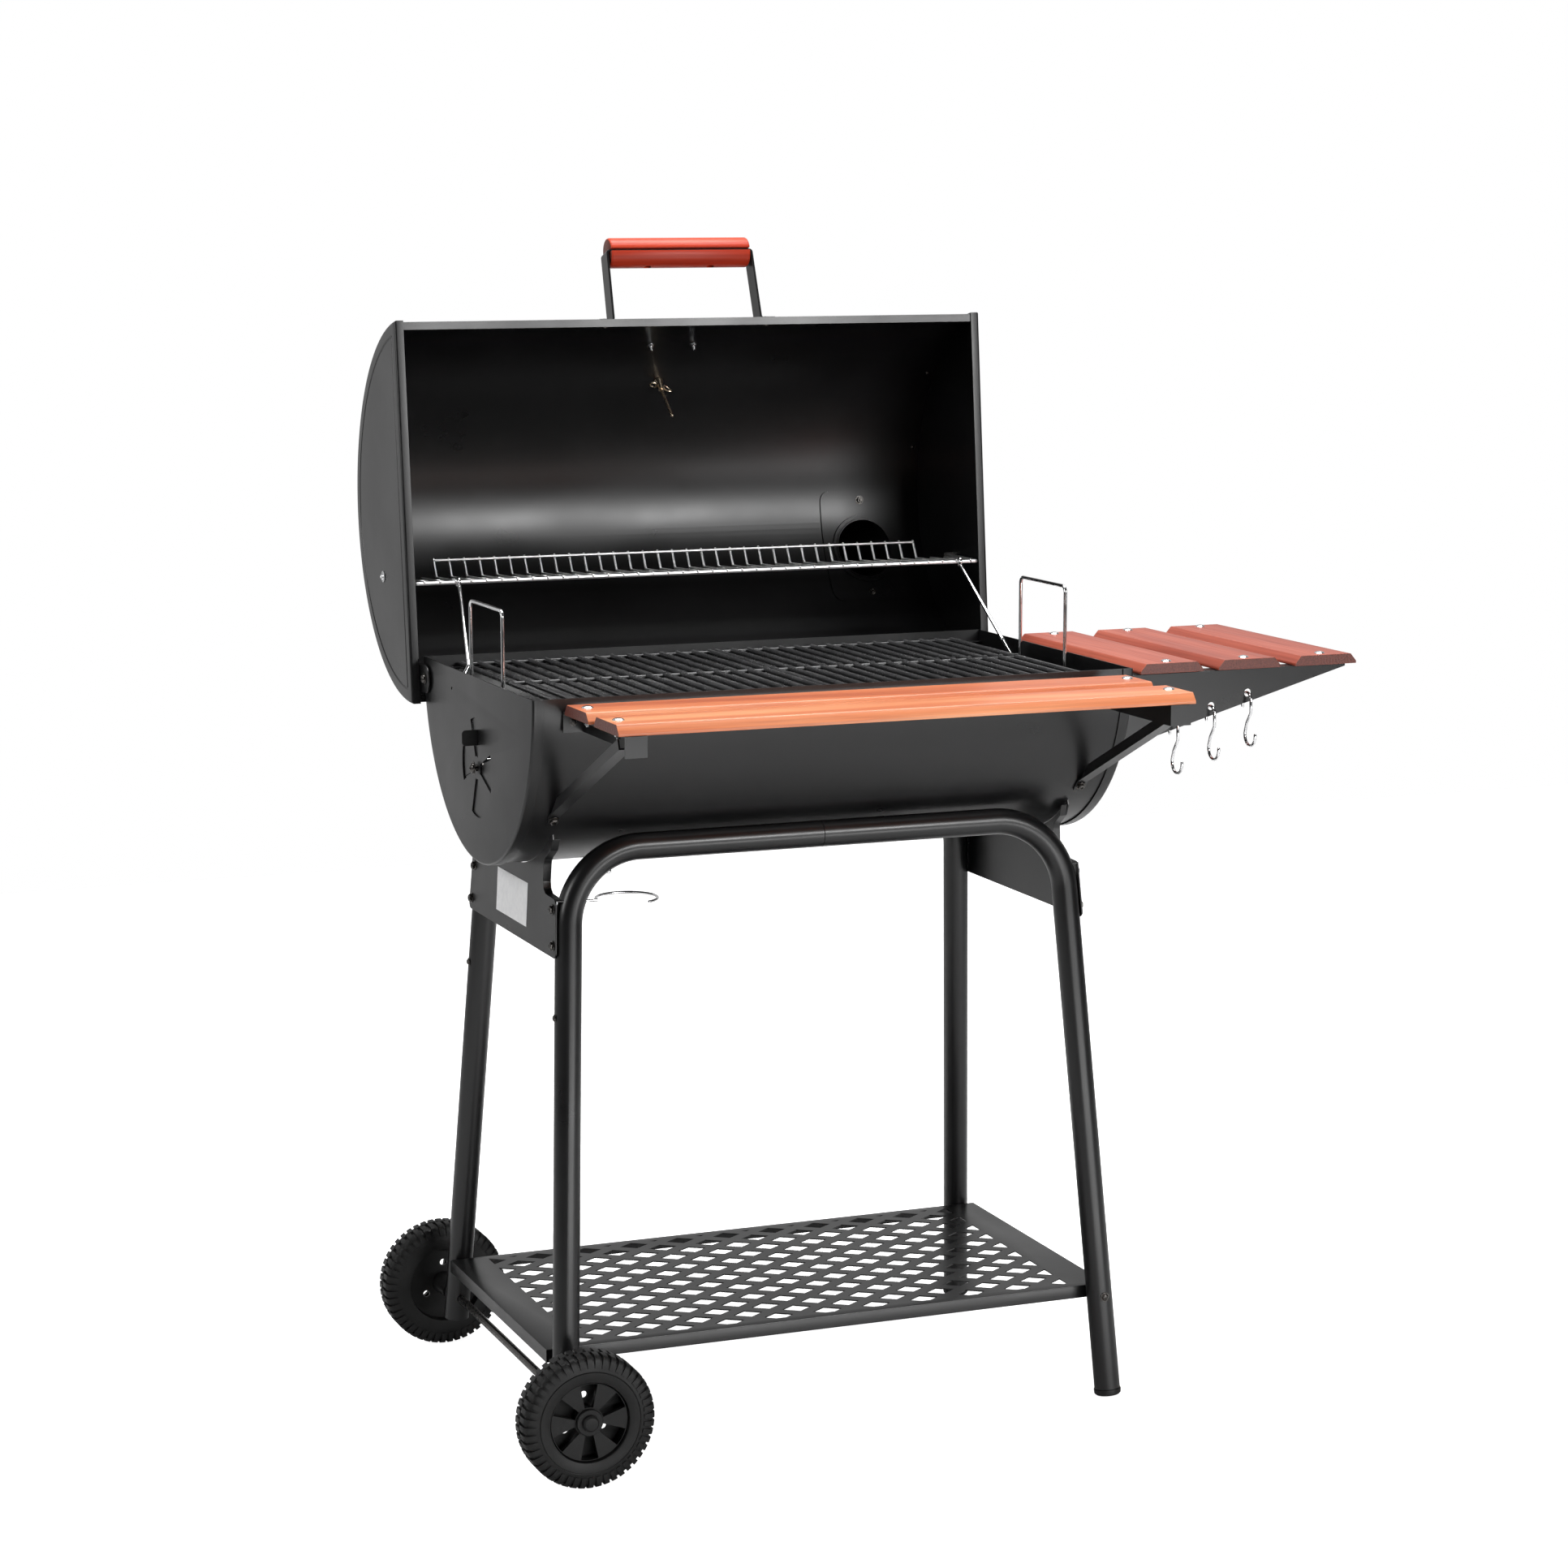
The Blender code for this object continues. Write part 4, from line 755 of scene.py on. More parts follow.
def build_firebox():
    """Rolled shell with ledges for the grates, and the two pressed ends."""
    inner_r, ledge_y = SHELL_R - SHEET, 212 * MM
    ledge_high = LEDGE_Z - BARREL_Z
    ledge_low = ledge_high - SHEET
    inner_high = math.sqrt(inner_r**2 - ledge_high**2)
    rear = [(inner_r, 0), (inner_high, ledge_high), (ledge_y, ledge_high), (ledge_y, ledge_low)]
    front = [(-y, z) for y, z in reversed(rear)]
    section = raised(lower_arc(SHELL_R) + rear + lower_arc(inner_r, -ledge_low)[::-1] + front, BARREL_Z)
    shell = prism(section, -SHELL_HALF, SHELL_HALF, "X")
    shell = carve(shell, [drill((GREASE_X, 0, BARREL_Z - SHELL_R), UP, 7 * MM)])
    add_painted("firebox_body", shell, "stand", "firebox_shell", bevel=0.4 * MM)

    def outline(offset):
        return raised(lower_arc(BARREL_R - offset), BARREL_Z)

    for side, word in SIDES:
        end = loft(end_rings(outline, BARREL_HALF, END_FLANGE, END_CORNER, side), closed=False)
        x = side * BARREL_HALF
        cutters = [drill((x, HINGE.y, HINGE.z), ALONG, PIN_HOLE_R)]
        cutters.append(drill((x, HINGE.y - RACK_DEPTH, HINGE.z), ALONG, 2.6 * MM))
        if side < 0:
            for i in range(VENTS):
                wedge = vent_wedge(math.pi / 2 * (i + 1), math.radians(22.5), VENT_R)
                cutters.append(prism(wedge, x - 5 * MM, x + 5 * MM, "X"))
            cutters.append(drill((x, 0, DAMPER_Z), ALONG, PIN_HOLE_R))
        cap = carve(end, cutters)
        add_painted(f"firebox_cap_{word}", cap, "stand", f"firebox_end_{word}", bevel=0.3 * MM)


def build_damper():
    """The turning disc behind the vents, with its rounded tab, and the bolt it turns on."""
    face = -BARREL_HALF + SHEET + GAP
    rim = [(PIN_HOLE_R, 0), (DAMPER_DISC_R, 0), (DAMPER_DISC_R, SHEET), (PIN_HOLE_R, SHEET)]
    windows = []
    for i in range(VENTS):
        wedge = vent_wedge(math.pi / 2 * (i + 1) - math.radians(38), math.radians(20), VENT_R)
        windows.append(prism(wedge, face - 3 * MM, face + 5 * MM, "X"))
    disc = carve(lathe(rim, (face, 0, DAMPER_Z), ALONG, 96, True), windows)
    outer, r = -BARREL_HALF - 18 * MM, 4.5 * MM
    low, high = DAMPER_Z + 27 * MM, DAMPER_Z + 46 * MM
    corners = arc(r, math.pi, 1.5 * math.pi, 6, (outer + r, low + r))
    corners += [(face + SHEET, low), (face + SHEET, high)]
    corners += arc(r, math.pi / 2, math.pi, 6, (outer + r, high - r))
    tab = prism(corners, -0.8 * MM, 0.8 * MM, "Y")
    add_painted("damper_disc", merge(disc, tab), "damper", "air_damper", bevel=0.25 * MM)
    bolt = stamp(PAN_HEAD, [sized((-BARREL_HALF - 3.6 * MM, 0, DAMPER_Z), (-1, 0, 0), 6.2 * MM)])
    rod = drill((-BARREL_HALF, 0, DAMPER_Z), ALONG, 3.8 * MM, 14 * MM)
    nut = stamp(NUT, [sized((face + SHEET + GAP, 0, DAMPER_Z), ALONG, 5 * MM)])
    add_piece("damper_screw", merge(bolt, rod, nut), DARK_STEEL, "stand", ["damper_bolt"])


def build_grates():
    """Two wire grates side by side, their bars tied by cross rods, with a weld bead at each middle joint."""
    bar_r, rod_r, tie_y = 3.3 * MM, 2.6 * MM, 10 * MM
    level = LEDGE_Z + 4.2 * MM
    rod_z, bar_end = level - 0.9 * MM, GRATE_HALF_Y - 3 * MM
    inner, outer = 1.5 * MM + bar_r, GRATE_OUTER_X - bar_r
    bulge = [(bar_r * math.cos(a), bar_r * math.sin(a)) for a in (-0.8, 0, 0.8)]
    bead = as_mesh(lathe([(0, -bar_r)] + bulge + [(0, bar_r)], sides=12))
    squash = Matrix.Diagonal((1.3, 1.0, 0.9, 1))
    for side, word in SIDES:
        xs = [side * (inner + (outer - inner) * i / (GRATE_BARS - 1)) for i in range(GRATE_BARS)]
        rods = [tube([(x, -bar_end, level), (x, bar_end, level)], bar_r, 14, dome=True) for x in xs]
        for y in (-GRATE_HALF_Y + 6 * MM, tie_y, GRATE_HALF_Y - 8 * MM):
            rods.append(tube([(side * inner, y, rod_z), (side * outer, y, rod_z)], rod_r, 14, dome=True))
        beads = [Matrix.Translation((x, tie_y, level + 1.8 * MM)) @ squash for x in xs]
        grate, nodes = merge(*rods, stamp(bead, beads)), [f"cooking_grate_{word}"]
        add_piece(f"grate_{word}", grate, GRATE_ENAMEL, f"grate_{word}", nodes)


def build_pan():
    """The pressed charcoal pan and its two wire lifting handles."""
    half_x, half_y, wall, corner_r = 330 * MM, 150 * MM, 25 * MM, 12 * MM
    levels = in_mm((6, 0), (2, 2), (0, 6))
    levels += [(0, wall), (SHEET, wall)] + in_mm((1.5, 6.5), (3.5, 3.5), (7, 1.5))
    loops = []
    for inset, z in levels:
        x, y = half_x - inset, half_y - inset
        loops.append([(a, b, PAN_Z + z) for a, b in rounded_rectangle(-x, x, -y, y, corner_r, 6)])
    add_piece("coal_pan", loft(loops), ENAMEL, "pan", ["charcoal_pan"])
    for side, word in SIDES:
        x, foot, low = side * 366 * MM, side * (half_x + GAP), PAN_Z + wall / 2
        y, top = 65 * MM, 998 * MM
        corners = [(foot, -y, low), (x, -y, low), (x, -y, top), (x, y, top), (x, y, low), (foot, y, low)]
        handle = tube(rounded_path(corners, 8 * MM), 2.2 * MM)
        add_piece(f"pan_lifter_{word}", handle, CHROME, "pan", [f"pan_handle_{word}"])


def build_grease_ring():
    """The wire ring that holds a grease can under the drain hole."""
    ring_r, ring_z, hook_x, arm_x = 38 * MM, 632 * MM, -212 * MM, -247 * MM
    hang_z, top = 666 * MM, BARREL_Z - SHELL_R - 2 * GAP
    corners = [(hook_x, 0, top), (hook_x, 0, hang_z), (arm_x, 0, hang_z), (arm_x, 0, ring_z)]
    corners.append((GREASE_X - ring_r - 4 * MM, 0, ring_z))
    loop = arc(ring_r, math.pi, -math.radians(65), 40, (GREASE_X, 0))
    path = rounded_path(corners, 3 * MM, 5) + [(x, y, ring_z) for x, y in loop]
    hanger = tube(path, 1.7 * MM, 12, dome=True)
    add_piece("grease_hanger", hanger, CHROME, "stand", ["grease_ring"])


def build_hinge_bolts():
    """A screw with its washers through each hinge ear, and a nut inside the firebox."""
    for side, word in SIDES:
        out = (side, 0, 0)
        head = stamp(PAN_HEAD, [sized((side * (BARREL_HALF + 4.2 * MM), HINGE.y, HINGE.z), out, 5.6 * MM)])
        rod = drill((side * BARREL_HALF, HINGE.y, HINGE.z), out, 3.9 * MM, 12 * MM)
        inside = (side * (BARREL_HALF - SHEET - GAP), HINGE.y, HINGE.z)
        nut = stamp(NUT, [sized(inside, (-side, 0, 0), 3.8 * MM)])
        screw, nodes = merge(head, rod, nut), [f"hinge_pin_{word}"]
        add_piece(f"hinge_screw_{word}", screw, DARK_STEEL, "stand", nodes)


# ---------------------------------------------------------------- lid


def lid_normal(degrees):
    """Outward direction on the closed lid, at an angle up from its front edge."""
    angle = math.radians(degrees)
    return Vector((0, -math.cos(angle), math.sin(angle)))


def lid_point(x, degrees, radius):
    """A point at a radius from the closed lid's axis."""
    return Vector((x, 0, LID_AXIS_Z)) + lid_normal(degrees) * radius


def lid_patch(degrees):
    """Local Z along the lid's normal and local X along the barrel, at the lid's surface."""
    normal = lid_normal(degrees)
    across = Vector((1, 0, 0))
    turn = Matrix((across, normal.cross(across), normal)).transposed()
    return Matrix.Translation(lid_point(0, degrees, LID_R)) @ turn.to_4x4()


def chimney_hole(radius, length):
    """A cutter along the chimney's axis, through the closed lid."""
    return drill((CHIMNEY_X, CHIMNEY_Y, CHIMNEY_LOW_Z), UP, radius, length, 64)


def lid_round(radius):
    """A cutter round the closed lid's axis, at the chimney."""
    return drill((CHIMNEY_X, 0, LID_AXIS_Z), ALONG, radius, 4 * SADDLE_HALF, 192)


def build_lid_shell():
    """The rolled top, its turned-in lip, and its holes."""
    above = LID_RIM_Z - LID_AXIS_Z + SHEET + GAP
    outer = upper_arc(LID_SHELL_R, above)
    inner = upper_arc(LID_SHELL_R - SHEET, above + SHEET)[::-1]
    lip_y = outer[-1][0] - LID_LIP + SHEET + GAP
    rear_lip = [(lip_y, above), (lip_y, above + SHEET)]
    front_lip = [(-lip_y, above + SHEET), (-lip_y, above)]
    outline = raised(outer + rear_lip + inner + front_lip, LID_AXIS_Z)
    cutters = [chimney_hole(CHIMNEY_R + 1.5 * MM, 120 * MM)]
    cutters.append(drill(lid_point(0, DIAL_ANGLE, LID_R), lid_normal(DIAL_ANGLE), 5 * MM))
    for side in (-1, 1):
        cutters.append(drill(lid_point(side * STUD_X, BADGE_ANGLE, LID_R), lid_normal(BADGE_ANGLE), 2.8 * MM))
    shell = carve(prism(outline, -LID_SHELL_HALF, LID_SHELL_HALF, "X"), cutters)
    add_painted("lid_body", shell, "lid", "lid_shell", LID, 0.4 * MM)


def build_lid_end(side, word):
    """A pressed end with a rounded edge and a shallow step that follows its outline."""
    above = LID_RIM_Z - LID_AXIS_Z

    def outline(offset):
        return raised(upper_arc(LID_R - offset, above + offset), LID_AXIS_Z)

    step, floor = 15 * MM, LID_HALF - 1.3 * MM
    groove = [(LID_HALF, step + 3.6 * MM), (floor, step + 2.4 * MM)]
    groove += [(floor, step + 1.2 * MM), (LID_HALF, step)]
    loops = [[(side * x, y, z) for y, z in outline(offset)] for x, offset in groove]
    loops += end_rings(outline, LID_HALF, LID_LIP, END_CORNER, side)
    pivot = drill((side * LID_HALF, RACK_PIVOT_CLOSED.y, RACK_PIVOT_CLOSED.z), ALONG, 3.6 * MM)
    add_painted(f"lid_cap_{word}", carve(loft(loops), [pivot]), "lid", f"lid_end_{word}", LID, 0.3 * MM)


def build_hinge_ear(side, word):
    """The rounded ear that turns on the firebox's screw."""
    near, far = sorted((side * 382.9 * MM, side * 384.9 * MM))
    ear_r, top = 17.5 * MM, LID_RIM_Z + 40 * MM
    outline = arc(ear_r, math.pi, 2 * math.pi, 32, (HINGE.y, HINGE.z))
    outline += [(HINGE.y + 16 * MM, top), (HINGE.y - ear_r, top)]
    ear = carve(prism(outline, near, far, "X"), [drill((near, HINGE.y, HINGE.z), ALONG, PIN_HOLE_R)])
    x0, x1 = sorted((side * 383.9 * MM, side * (LID_HALF - SHEET - GAP)))
    spacer = box(x0, x1, HINGE.y - 12 * MM, HINGE.y + 12 * MM, top - 32 * MM, top - 4 * MM)
    add_painted(f"hinge_lug_{word}", merge(ear, spacer), "lid", f"hinge_ear_{word}", LID, 0.35 * MM)


def build_handle():
    """A flat strap bent into a bridge, and its screws."""
    patch = LID @ lid_patch(HANDLE_ANGLE)
    foot, leg_x, half_w, base, rise = 20 * MM, 100 * MM, 12 * MM, 0.5 * MM, HANDLE_RISE
    corners = [(-leg_x - foot, base), (-leg_x, base), (-leg_x, rise)]
    corners += [(-x, z) for x, z in reversed(corners)]
    line = [Vector((x, 0, z + STRAP_T / 2)) for x, z in corners]
    for i, share in ((1, -0.2), (2, 0.5), (3, -0.5), (4, 0.2)):
        line[i].x += STRAP_T * share
    path = rounded_path(line, 3.2 * MM, 6)
    wide = Vector((0, half_w, 0))
    loops = []
    for i, point in enumerate(path):
        ahead = heading(path, i)
        up = Vector((-ahead.z, 0, ahead.x)) * STRAP_T / 2
        loops.append([point + up + wide, point + up - wide, point - up - wide, point - up + wide])
    add_painted("handle_bridge", loft(loops), "lid", "handle_strap", patch, 0.4 * MM)
    build_grips(patch)
    feet = [sized((side * 110 * MM, 0, base + STRAP_T), UP, 4.2 * MM) for side in (-1, 1)]
    feet += [sized((side * 110 * MM, 0, -4.1 * MM), (0, 0, -1), 3.4 * MM) for side in (-1, 1)]
    add_fasteners("handle_screws", PAN_HEAD, feet, "lid", patch)


def build_grips(patch):
    """A half-round grip on each face of the strap, and the screws that hold them."""
    grip_r, grip_half, hole_x = 17.5 * MM, 95 * MM, 43 * MM
    near = [(-grip_half, 0.9), (-grip_half + 0.6 * MM, 0.95), (-grip_half + 2.5 * MM, 1.0)]
    stations = near + [(-x, scale) for x, scale in reversed(near)]
    faces = (("outer", 0, HANDLE_RISE + STRAP_T + GAP), ("inner", math.pi, HANDLE_RISE - GAP))
    for word, start, level in faces:
        loops = []
        for x, scale in stations:
            loops.append([(x, y, level + z) for y, z in arc(grip_r * scale, start, start + math.pi, 32)])
        grip = loft(loops)
        if word == "inner":
            holes = [drill((side * hole_x, 0, level - grip_r), UP, 5 * MM, 16 * MM) for side in (-1, 1)]
            grip = carve(grip, holes)
        nodes = [f"handle_grip_{word}"]
        add_piece(f"grip_{word}", grip, GRIP_WOOD, "lid", nodes, patch, 1.0 * MM)
    under = HANDLE_RISE - GAP - grip_r + 8 * MM
    screws = [sized((side * hole_x, 0, under), (0, 0, -1), 3.6 * MM) for side in (-1, 1)]
    add_fasteners("grip_screws", PAN_HEAD, screws, "lid", patch)


def build_thermometer():
    """The dial outside, its stem through the lid, and the wing nut that holds it."""
    place = LID @ toward(lid_point(0, DIAL_ANGLE, LID_R), lid_normal(DIAL_ANGLE))
    case = in_mm((0, 0.6), (28, 0.6), (30, 2.6), (30, 11.5), (29, 13), (26.5, 13), (25.5, 11), (0, 11))
    stem = in_mm((0, 1.6), (2, 1.6), (2, -71.5), (1.5, -72), (0, -72))
    bezel = merge(lathe(case, sides=64), lathe(stem, sides=20))
    add_piece("dial_case", bezel, BRASS, "lid", ["thermometer"], place)
    face = lathe(in_mm((0, 0), (25.4, 0), (25.4, 0.4), (0, 0.4)), (0, 0, 11 * MM), sides=64)
    add_piece("dial_face", face, LABEL, "lid", (), place)

    first_turn, sweep, steps, mark_r = 225, 270, 24, 24 * MM
    marks = []
    for i in range(steps + 1):
        length = 3.2 * MM if i % 4 == 0 else 1.8 * MM
        bar = box(mark_r - length, mark_r, -0.25 * MM, 0.25 * MM, 11.3 * MM, 11.55 * MM)
        bar.transform(Matrix.Rotation(math.radians(first_turn - sweep * i / steps), 4, "Z"))
        marks.append(bar)
    needle = prism(in_mm((-4, -0.8), (19, 0), (-4, 0.8)), 11.7 * MM, 12 * MM, "Z")
    needle.transform(Matrix.Rotation(math.radians(first_turn), 4, "Z"))
    pin = lathe(in_mm((0, 11.4), (1.6, 11.4), (1.2, 12.2), (0, 12.3)))
    add_piece("dial_marks", merge(*marks, needle, pin), PLASTIC, "lid", (), place)

    barrel = in_mm((2.4, -20), (3.6, -20), (4.2, -11), (6.4, -6), (6.8, -4), (2.4, -4))
    wings = []
    for side in (-1, 1):
        loop = []
        for i in range(21):
            turn = math.tau * i / 20
            x = 11.5 + 5.5 * math.cos(turn)
            loop.append((side * x, 0.9 * math.sin(2 * turn), 4.2 * math.sin(turn) - 10.5 - 0.35 * x))
        wings.append(tube(in_mm(*loop), 1.1 * MM, 10))
    nut = merge(lathe(barrel, sides=24, ring=True), *wings)
    spin = Matrix.Rotation(math.radians(18), 4, "Z")
    add_piece("wing_nut", nut, BRASS, "lid", ["thermometer_nut"], place @ spin)


def build_badge():
    """A blank raised badge, its studs, and the nuts that hold them."""
    patch = LID @ lid_patch(BADGE_ANGLE)
    end_r, half = 16 * MM, 34 * MM
    loops = []
    for inset, z in in_mm((0, 1), (0, 2.6), (0.5, 3), (2.2, 3), (2.8, 2.4)):
        right = arc(end_r - inset, -math.pi / 2, math.pi / 2, 16, (half, 0))
        left = arc(end_r - inset, math.pi / 2, 1.5 * math.pi, 16, (-half, 0))
        loops.append([(x, y, z) for x, y in right + left])
    stud = in_mm((0, -12), (1.7, -12), (2, -11.4), (2, 1), (0, 1))
    studs = [lathe(stud, (side * STUD_X, 0, 0), sides=14) for side in (-1, 1)]
    add_piece("badge", merge(loft(loops), *studs), BRIGHT, "lid", ["name_plate"], patch)
    nuts = [sized((side * STUD_X, 0, -3.6 * MM), (0, 0, -1), 3.2 * MM) for side in (-1, 1)]
    add_fasteners("badge_nuts", NUT, nuts, "lid", patch, BRIGHT)


def build_chimney():
    """Saddle plate and collar, pipe, swinging cap, and the fixing plate inside the lid."""
    build_chimney_base()
    build_chimney_pipe()
    build_chimney_backing()


def build_chimney_base():
    """The saddle plate and its collar."""
    start, end = math.radians(88), math.radians(54)
    center = (0, LID_AXIS_Z)
    outline = arc(LID_R + 2 * MM, start, end, 24, center) + arc(LID_R + GAP, end, start, 24, center)
    saddle = prism(outline, CHIMNEY_X - SADDLE_HALF, CHIMNEY_X + SADDLE_HALF, "X")
    low, high, collar_r = CHIMNEY_LOW_Z - 60 * MM, CHIMNEY_LOW_Z + 30 * MM, CHIMNEY_R + 2.2 * MM
    collar = lathe([(0, low), (collar_r, low), (collar_r, high), (0, high)], CHIMNEY_AXIS, UP, 64)
    base = carve(saddle, [collar], "UNION")
    base = carve(base, [lid_round(LID_R + GAP), chimney_hole(CHIMNEY_R + 0.6 * MM, 4 * SADDLE_HALF)])
    add_painted("chimney_saddle", base, "lid", "chimney_base", LID, 0.4 * MM)


def build_chimney_pipe():
    """The pipe with a bead near its top, and the cap that swings on a pin beside it."""
    r, bore, low, top = CHIMNEY_R, CHIMNEY_R - SHEET, CHIMNEY_LOW_Z - 50 * MM, CHIMNEY_TOP_Z
    profile = [(r, low), (r, top - 8 * MM), (r + 1 * MM, top - 7 * MM), (r + 1 * MM, top - 5 * MM)]
    profile += [(r, top - 4 * MM), (r, top), (bore, top), (bore, low)]
    pipe = carve(lathe(profile, CHIMNEY_AXIS, UP, 64, True), [lid_round(LID_R - 9 * MM)])
    pin_y = CHIMNEY_Y + r + 7 * MM
    lug_y = CHIMNEY_Y + r - SHEET / 2
    lug = box(CHIMNEY_X - 6 * MM, CHIMNEY_X + 6 * MM, lug_y, pin_y + 7 * MM, top - 4 * MM, top - 1 * MM)
    profile = in_mm((0, -2), (2.5, -2), (2.5, 3.4), (5, 3.4), (4.6, 5), (2.5, 5.4), (0, 5.4))
    pin = lathe(profile, (CHIMNEY_X, pin_y, top), UP, 24)
    add_painted("chimney_stack", merge(pipe, lug, pin), "lid", "chimney_pipe", LID, 0.3 * MM)

    opening = math.radians(17.5)
    outline = arc(r + 4 * MM, math.pi / 2 + opening, 2.5 * math.pi - opening, 72, (CHIMNEY_X, CHIMNEY_Y))
    outline += arc(9 * MM, 0, math.pi, 16, (CHIMNEY_X, pin_y))
    cap = prism(outline, top + GAP, top + 2.8 * MM, "Z")
    cap = carve(cap, [drill((CHIMNEY_X, pin_y, top), UP, 2.9 * MM)])
    add_painted("chimney_lid", cap, "chimney_cap", "chimney_cap", LID, 0.5 * MM)


def build_chimney_backing():
    """The fixing plate inside the lid with a lip round the hole, its nuts, and the screws outside."""
    inner_r = LID_SHELL_R - SHEET
    bore = CHIMNEY_R + 0.4 * MM
    plate = rounded_saddle(inner_r - 2.2 * MM, inner_r - 0.1 * MM)
    plate = carve(plate, [chimney_hole(bore, 120 * MM)])
    lip_r, low, high = CHIMNEY_R + 5 * MM, CHIMNEY_LOW_Z - 60 * MM, CHIMNEY_LOW_Z + 60 * MM
    lip = lathe([(bore, low), (lip_r, low), (lip_r, high), (bore, high)], CHIMNEY_AXIS, UP, 64, True)
    lip = carve(lip, [lid_round(inner_r - 4.5 * MM)])
    lip = carve(lip, [lid_round(inner_r - 0.2 * MM)], "INTERSECT")
    add_painted("chimney_backing", merge(plate, lip), "lid", place=LID, bevel=0.3 * MM)
    nuts, heads = [], []
    for degrees in (90.1, 122.5):
        nuts.append(sized(lid_point(CHIMNEY_X, degrees, inner_r - 2.2 * MM), -lid_normal(degrees), 4 * MM))
    for degrees in (94.5, 122.5):
        heads.append(sized(lid_point(CHIMNEY_X, degrees, LID_R + 2 * MM), lid_normal(degrees), 4.2 * MM))
    add_fasteners("chimney_nuts", NUT, nuts, "lid", LID)
    add_fasteners("chimney_screws", PAN_HEAD, heads, "lid", LID)


def rounded_saddle(inner_r, outer_r):
    """A thin curved plate with rounded corners under the chimney, in the closed lid."""
    half, low, high, corner_r, steps = 57.5 * MM, 87.0, 125.5, 12 * MM, 40
    front, rear = math.radians(180 - low), math.radians(180 - high)
    center = (0, LID_AXIS_Z)
    outline = arc(inner_r, front, rear, steps, center) + arc(outer_r, rear, front, steps, center)
    x0, x1 = CHIMNEY_X - half, CHIMNEY_X + half
    y0, y1 = sorted(lid_point(0, degrees, inner_r).y for degrees in (low, high))
    edge = rounded_rectangle(x0, x1, y0, y1, corner_r, 8)
    trim = prism(edge, CHIMNEY_LOW_Z - 120 * MM, CHIMNEY_LOW_Z + 60 * MM, "Z")
    return carve(prism(outline, x0, x1, "X"), [trim], "INTERSECT")


def build_lid():
    """Everything on the lid, in the order it is put on, and the screws of its ends."""
    build_lid_shell()
    for side, word in SIDES:
        build_lid_end(side, word)
        build_hinge_ear(side, word)
    build_handle()
    build_thermometer()
    build_badge()
    build_chimney()
    screws = []
    for side in (1, -1):
        for degrees in (44.8, 72.8):
            at = lid_point(side * (LID_SHELL_HALF - 9 * MM), degrees, LID_SHELL_R - SHEET)
            screws.append(sized(at, -lid_normal(degrees), 2.6 * MM))
    add_fasteners("lid_end_screws", PAN_HEAD, screws, "lid", LID)


# ---------------------------------------------------------------- warming rack


def build_rack():
    """A bent frame that ends in pivots, deck wires that turn up into a leaning fence, and two long rods."""
    rear_y = RACK_Y + RACK_DEPTH
    wire, rod = 1.7 * MM, 2.3 * MM
    fence_top_y, fence_foot_y = rear_y - 8 * MM, rear_y - 22 * MM
    deck_front_z, deck_rear_z = RACK_Z + 0.7 * rod, RACK_Z - 2 * MM
    fence_z = RACK_Z + FENCE_HEIGHT
    corners = [(RACK_PIVOT_HALF, rear_y, RACK_Z), (RACK_HALF, rear_y, RACK_Z), (RACK_HALF, RACK_Y, RACK_Z)]
    corners += [(-x, y, z) for x, y, z in reversed(corners)]
    wires = [tube(rounded_path(corners, 4 * MM), rod, 16, dome=True)]
    first_post = -RACK_PITCH * (FENCE_POSTS - 1) / 2
    last_wire = RACK_PITCH * (RACK_WIRES - 1) / 2
    top_rail = (first_post, fence_top_y - 2 * wire, fence_z - 2 * MM)
    deck_rail = (-last_wire, RACK_Y + 0.6 * RACK_DEPTH, RACK_Z - 3.6 * MM)
    for x, y, z in (top_rail, deck_rail):
        wires.append(tube([(x, y, z), (-x, y, z)], wire, 12, dome=True))
    for i in range(RACK_WIRES):
        x = -last_wire + i * RACK_PITCH
        path = [(x, RACK_Y - 3.4 * MM, deck_front_z), (x, fence_foot_y, deck_rear_z)]
        if abs(x) < -first_post + RACK_PITCH / 2:
            path = rounded_path(path + [(x, fence_top_y, fence_z + 0.8 * MM)], 3 * MM, 6)
        wires.append(tube(path, wire, 12, dome=True))
    add_piece("rack_wires", merge(*wires), RACK_CHROME, "rack", ["warming_rack"])
    profile = in_mm((2.2, 0), (7, 0), (7.2, 0.5), (4.6, 1.0), (3.4, 2.6), (2.2, 2.9))
    for side, word in SIDES:
        x = side * (LID_HALF + GAP)
        cap = lathe(profile, (x, rear_y, RACK_Z), (side, 0, 0), 32, True)
        slots = []
        for a, b in in_mm((5.6, 0.5), (0.5, 5.6)):
            slots.append(box(x - 4 * MM, x + 4 * MM, rear_y - a, rear_y + a, RACK_Z - b, RACK_Z + b))
        add_piece(f"push_nut_{word}", carve(cap, slots), BRIGHT, "rack", [f"rack_push_nut_{word}"])


